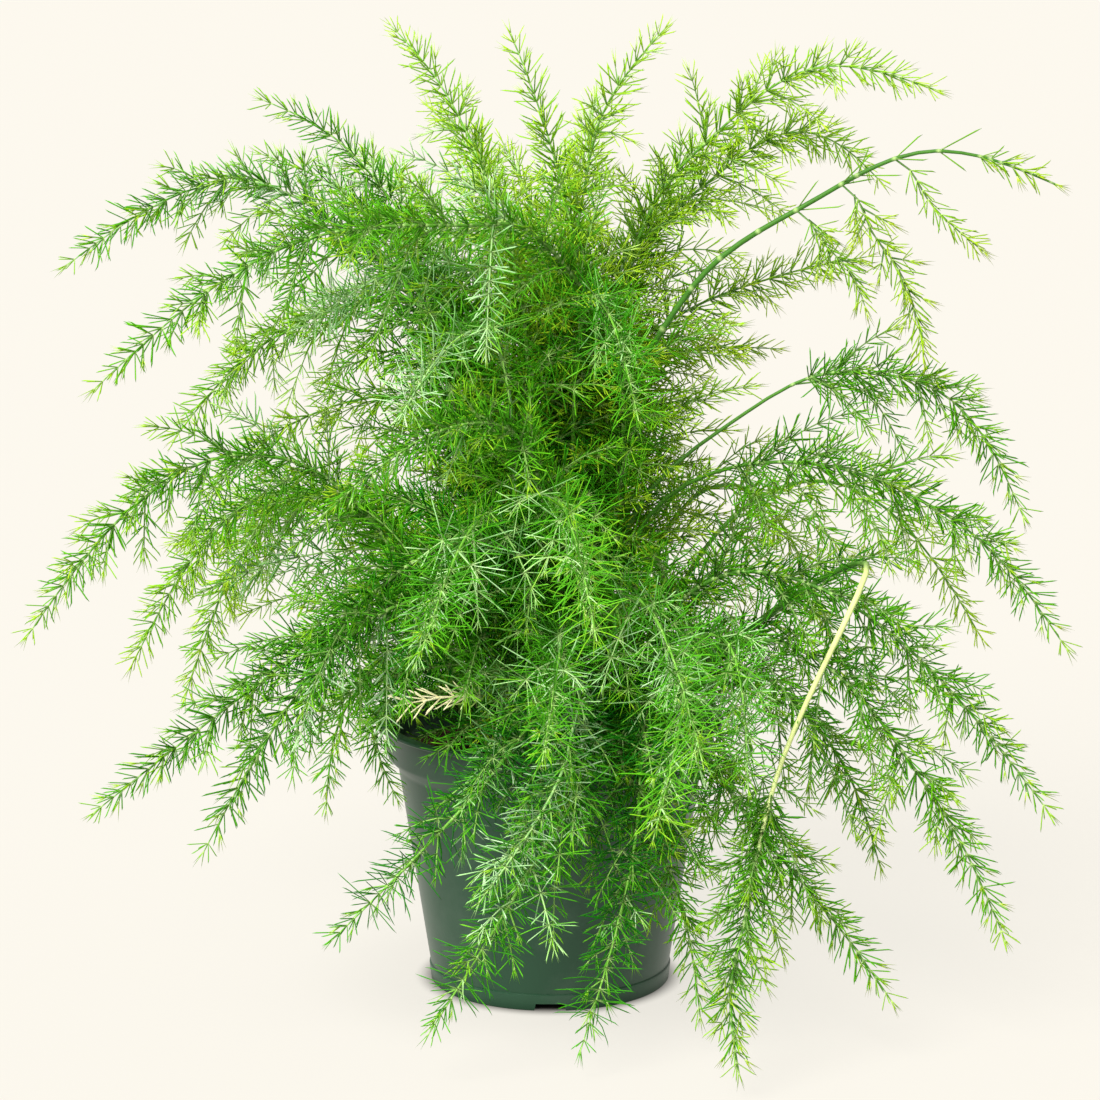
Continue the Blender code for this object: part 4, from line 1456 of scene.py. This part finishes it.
class MakePot(bpy.types.Operator):
    """Makes the moulded pot with its band, lip, foot line and drainage notches"""

    bl_idname = "fern.make_pot"
    bl_label = "Make the pot"

    def execute(self, context):
        settings = context.scene.fern_pot
        mesh = plain_mesh("moulded_pot", lathe(pot_outline(settings), settings.sides))
        pot = add_piece("moulded_pot", mesh, pot_material(settings))
        cutter = notch_cutter()
        context.scene.collection.objects.link(cutter)
        cut = pot.modifiers.new("Notches", "BOOLEAN")
        cut.operation = "DIFFERENCE"
        cut.object = cutter
        cut.solver = "EXACT"
        baked(pot)
        bpy.data.objects.remove(cutter)
        pot.data.shade_smooth()
        pot.data.set_sharp_from_angle(angle=math.radians(SHARP_ANGLE))
        finish_piece(pot, "pot")
        return {"FINISHED"}


class MakeSoil(bpy.types.Operator):
    """Makes the soil with its lumpy top and strewn crumbs"""

    bl_idname = "fern.make_soil"
    bl_label = "Make the soil"

    def execute(self, context):
        settings = context.scene.fern_soil
        finish = soil_material(settings)
        soil = add_piece("potting_soil", soil_mesh(), finish)
        strew = soil.modifiers.new("Crumbs", "NODES")
        strew.node_group = crumb_tree(crumb_collection(random.Random("soil")), finish)
        set_input(strew, "Crumbs", settings.crumbs)
        set_input(strew, "Crumb size", settings.crumb)
        set_input(strew, "Seed", CRUMB_SEED)
        baked(soil)
        finish_piece(soil, "soil")
        return {"FINISHED"}


class MakeFronds(bpy.types.Operator):
    """Grows every frond: its stem, its side shoots and their whorls of needles"""

    bl_idname = "fern.make_fronds"
    bl_label = "Make the fronds"

    def execute(self, context):
        settings = context.scene.fern_fronds
        whorls = whorl_collection(settings)
        tree = frond_tree(whorls, stem_material(settings), needle_material(settings))
        fronds = {}
        for name, path in stem_paths().items():
            frond = add_piece("needled_" + name, frond_mesh(name, path, settings))
            grow = frond.modifiers.new("Frond", "NODES")
            grow.node_group = tree
            set_input(grow, "Stem sides", settings.stem_sides)
            set_input(grow, "Shoot sides", settings.shoot_sides)
            set_input(grow, "Needle scale", 1.0)
            fronds[name] = frond
        for name, frond in fronds.items():
            baked(frond)
            finish_piece(frond, "frond_" + name)
        return {"FINISHED"}


class SetStage(bpy.types.Operator):
    """Lays the pale floor, and sets the camera and the soft light"""

    bl_idname = "fern.set_stage"
    bl_label = "Set the stage"

    def execute(self, context):
        settings = context.scene.fern_stage
        scene = context.scene
        data = bpy.data.meshes.new("floor")
        signs = ((-1, -1), (1, -1), (1, 1), (-1, 1))
        corners = [(x * FLOOR_REACH, y * FLOOR_REACH, 0) for x, y in signs]
        data.from_pydata(corners, [], [(0, 1, 2, 3)])
        add_piece("floor", data, paper_material(settings))

        camera = bpy.data.objects.new("camera", bpy.data.cameras.new("camera"))
        scene.collection.objects.link(camera)
        camera.data.sensor_width = SENSOR_WIDTH
        camera.data.lens = SENSOR_WIDTH * settings.distance / settings.width
        camera.data.clip_end = FAR_CLIP
        camera.location = (
            0,
            -settings.distance * math.cos(settings.rise),
            settings.aim + settings.distance * math.sin(settings.rise),
        )
        camera.rotation_euler = (math.pi / 2 - settings.rise, 0, 0)
        scene.camera = camera

        sun = bpy.data.lights.new("softbox", "SUN")
        sun.energy = SUN_POWER
        sun.color = SUN_COLOUR
        sun.angle = math.radians(SUN_SPREAD)
        lamp = bpy.data.objects.new("softbox", sun)
        lamp.rotation_euler = [math.radians(angle) for angle in SUN_TURN]
        scene.collection.objects.link(lamp)

        world = bpy.data.worlds.new("studio")
        world.use_nodes = True
        sky = world.node_tree.nodes["Background"]
        sky.inputs["Color"].default_value = rgba(settings.sky)
        sky.inputs["Strength"].default_value = SKY_POWER
        scene.world = world
        scene.view_settings.view_transform = "Standard"
        return {"FINISHED"}


class FernPanel(bpy.types.Panel):
    """Lists the fern's pieces and their sizes"""

    bl_idname = "FERN_PT_pieces"
    bl_label = "Potted foxtail fern"
    bl_space_type = "VIEW_3D"
    bl_region_type = "UI"
    bl_category = "Fern"

    def draw(self, context):
        for group, maker in zip(SETTINGS, MAKERS):
            box = self.layout.box()
            box.operator(maker.bl_idname)
            settings = getattr(context.scene, group)
            for name in SETTINGS[group].__annotations__:
                box.prop(settings, name)


MAKERS = (MakePot, MakeSoil, MakeFronds, SetStage)


def register():
    """Registers the settings, the operators and the panel."""
    for kind in (*SETTINGS.values(), *MAKERS, FernPanel):
        bpy.utils.register_class(kind)
    for name, kind in SETTINGS.items():
        setattr(bpy.types.Scene, name, PointerProperty(type=kind))


def unregister():
    """Takes all that register added away again."""
    for name in SETTINGS:
        delattr(bpy.types.Scene, name)
    for kind in reversed((*SETTINGS.values(), *MAKERS, FernPanel)):
        bpy.utils.unregister_class(kind)


def main():
    """Makes the stage and every piece."""
    register()
    bpy.ops.fern.set_stage()
    bpy.ops.fern.make_pot()
    bpy.ops.fern.make_soil()
    bpy.ops.fern.make_fronds()


if __name__ == "__main__":
    main()
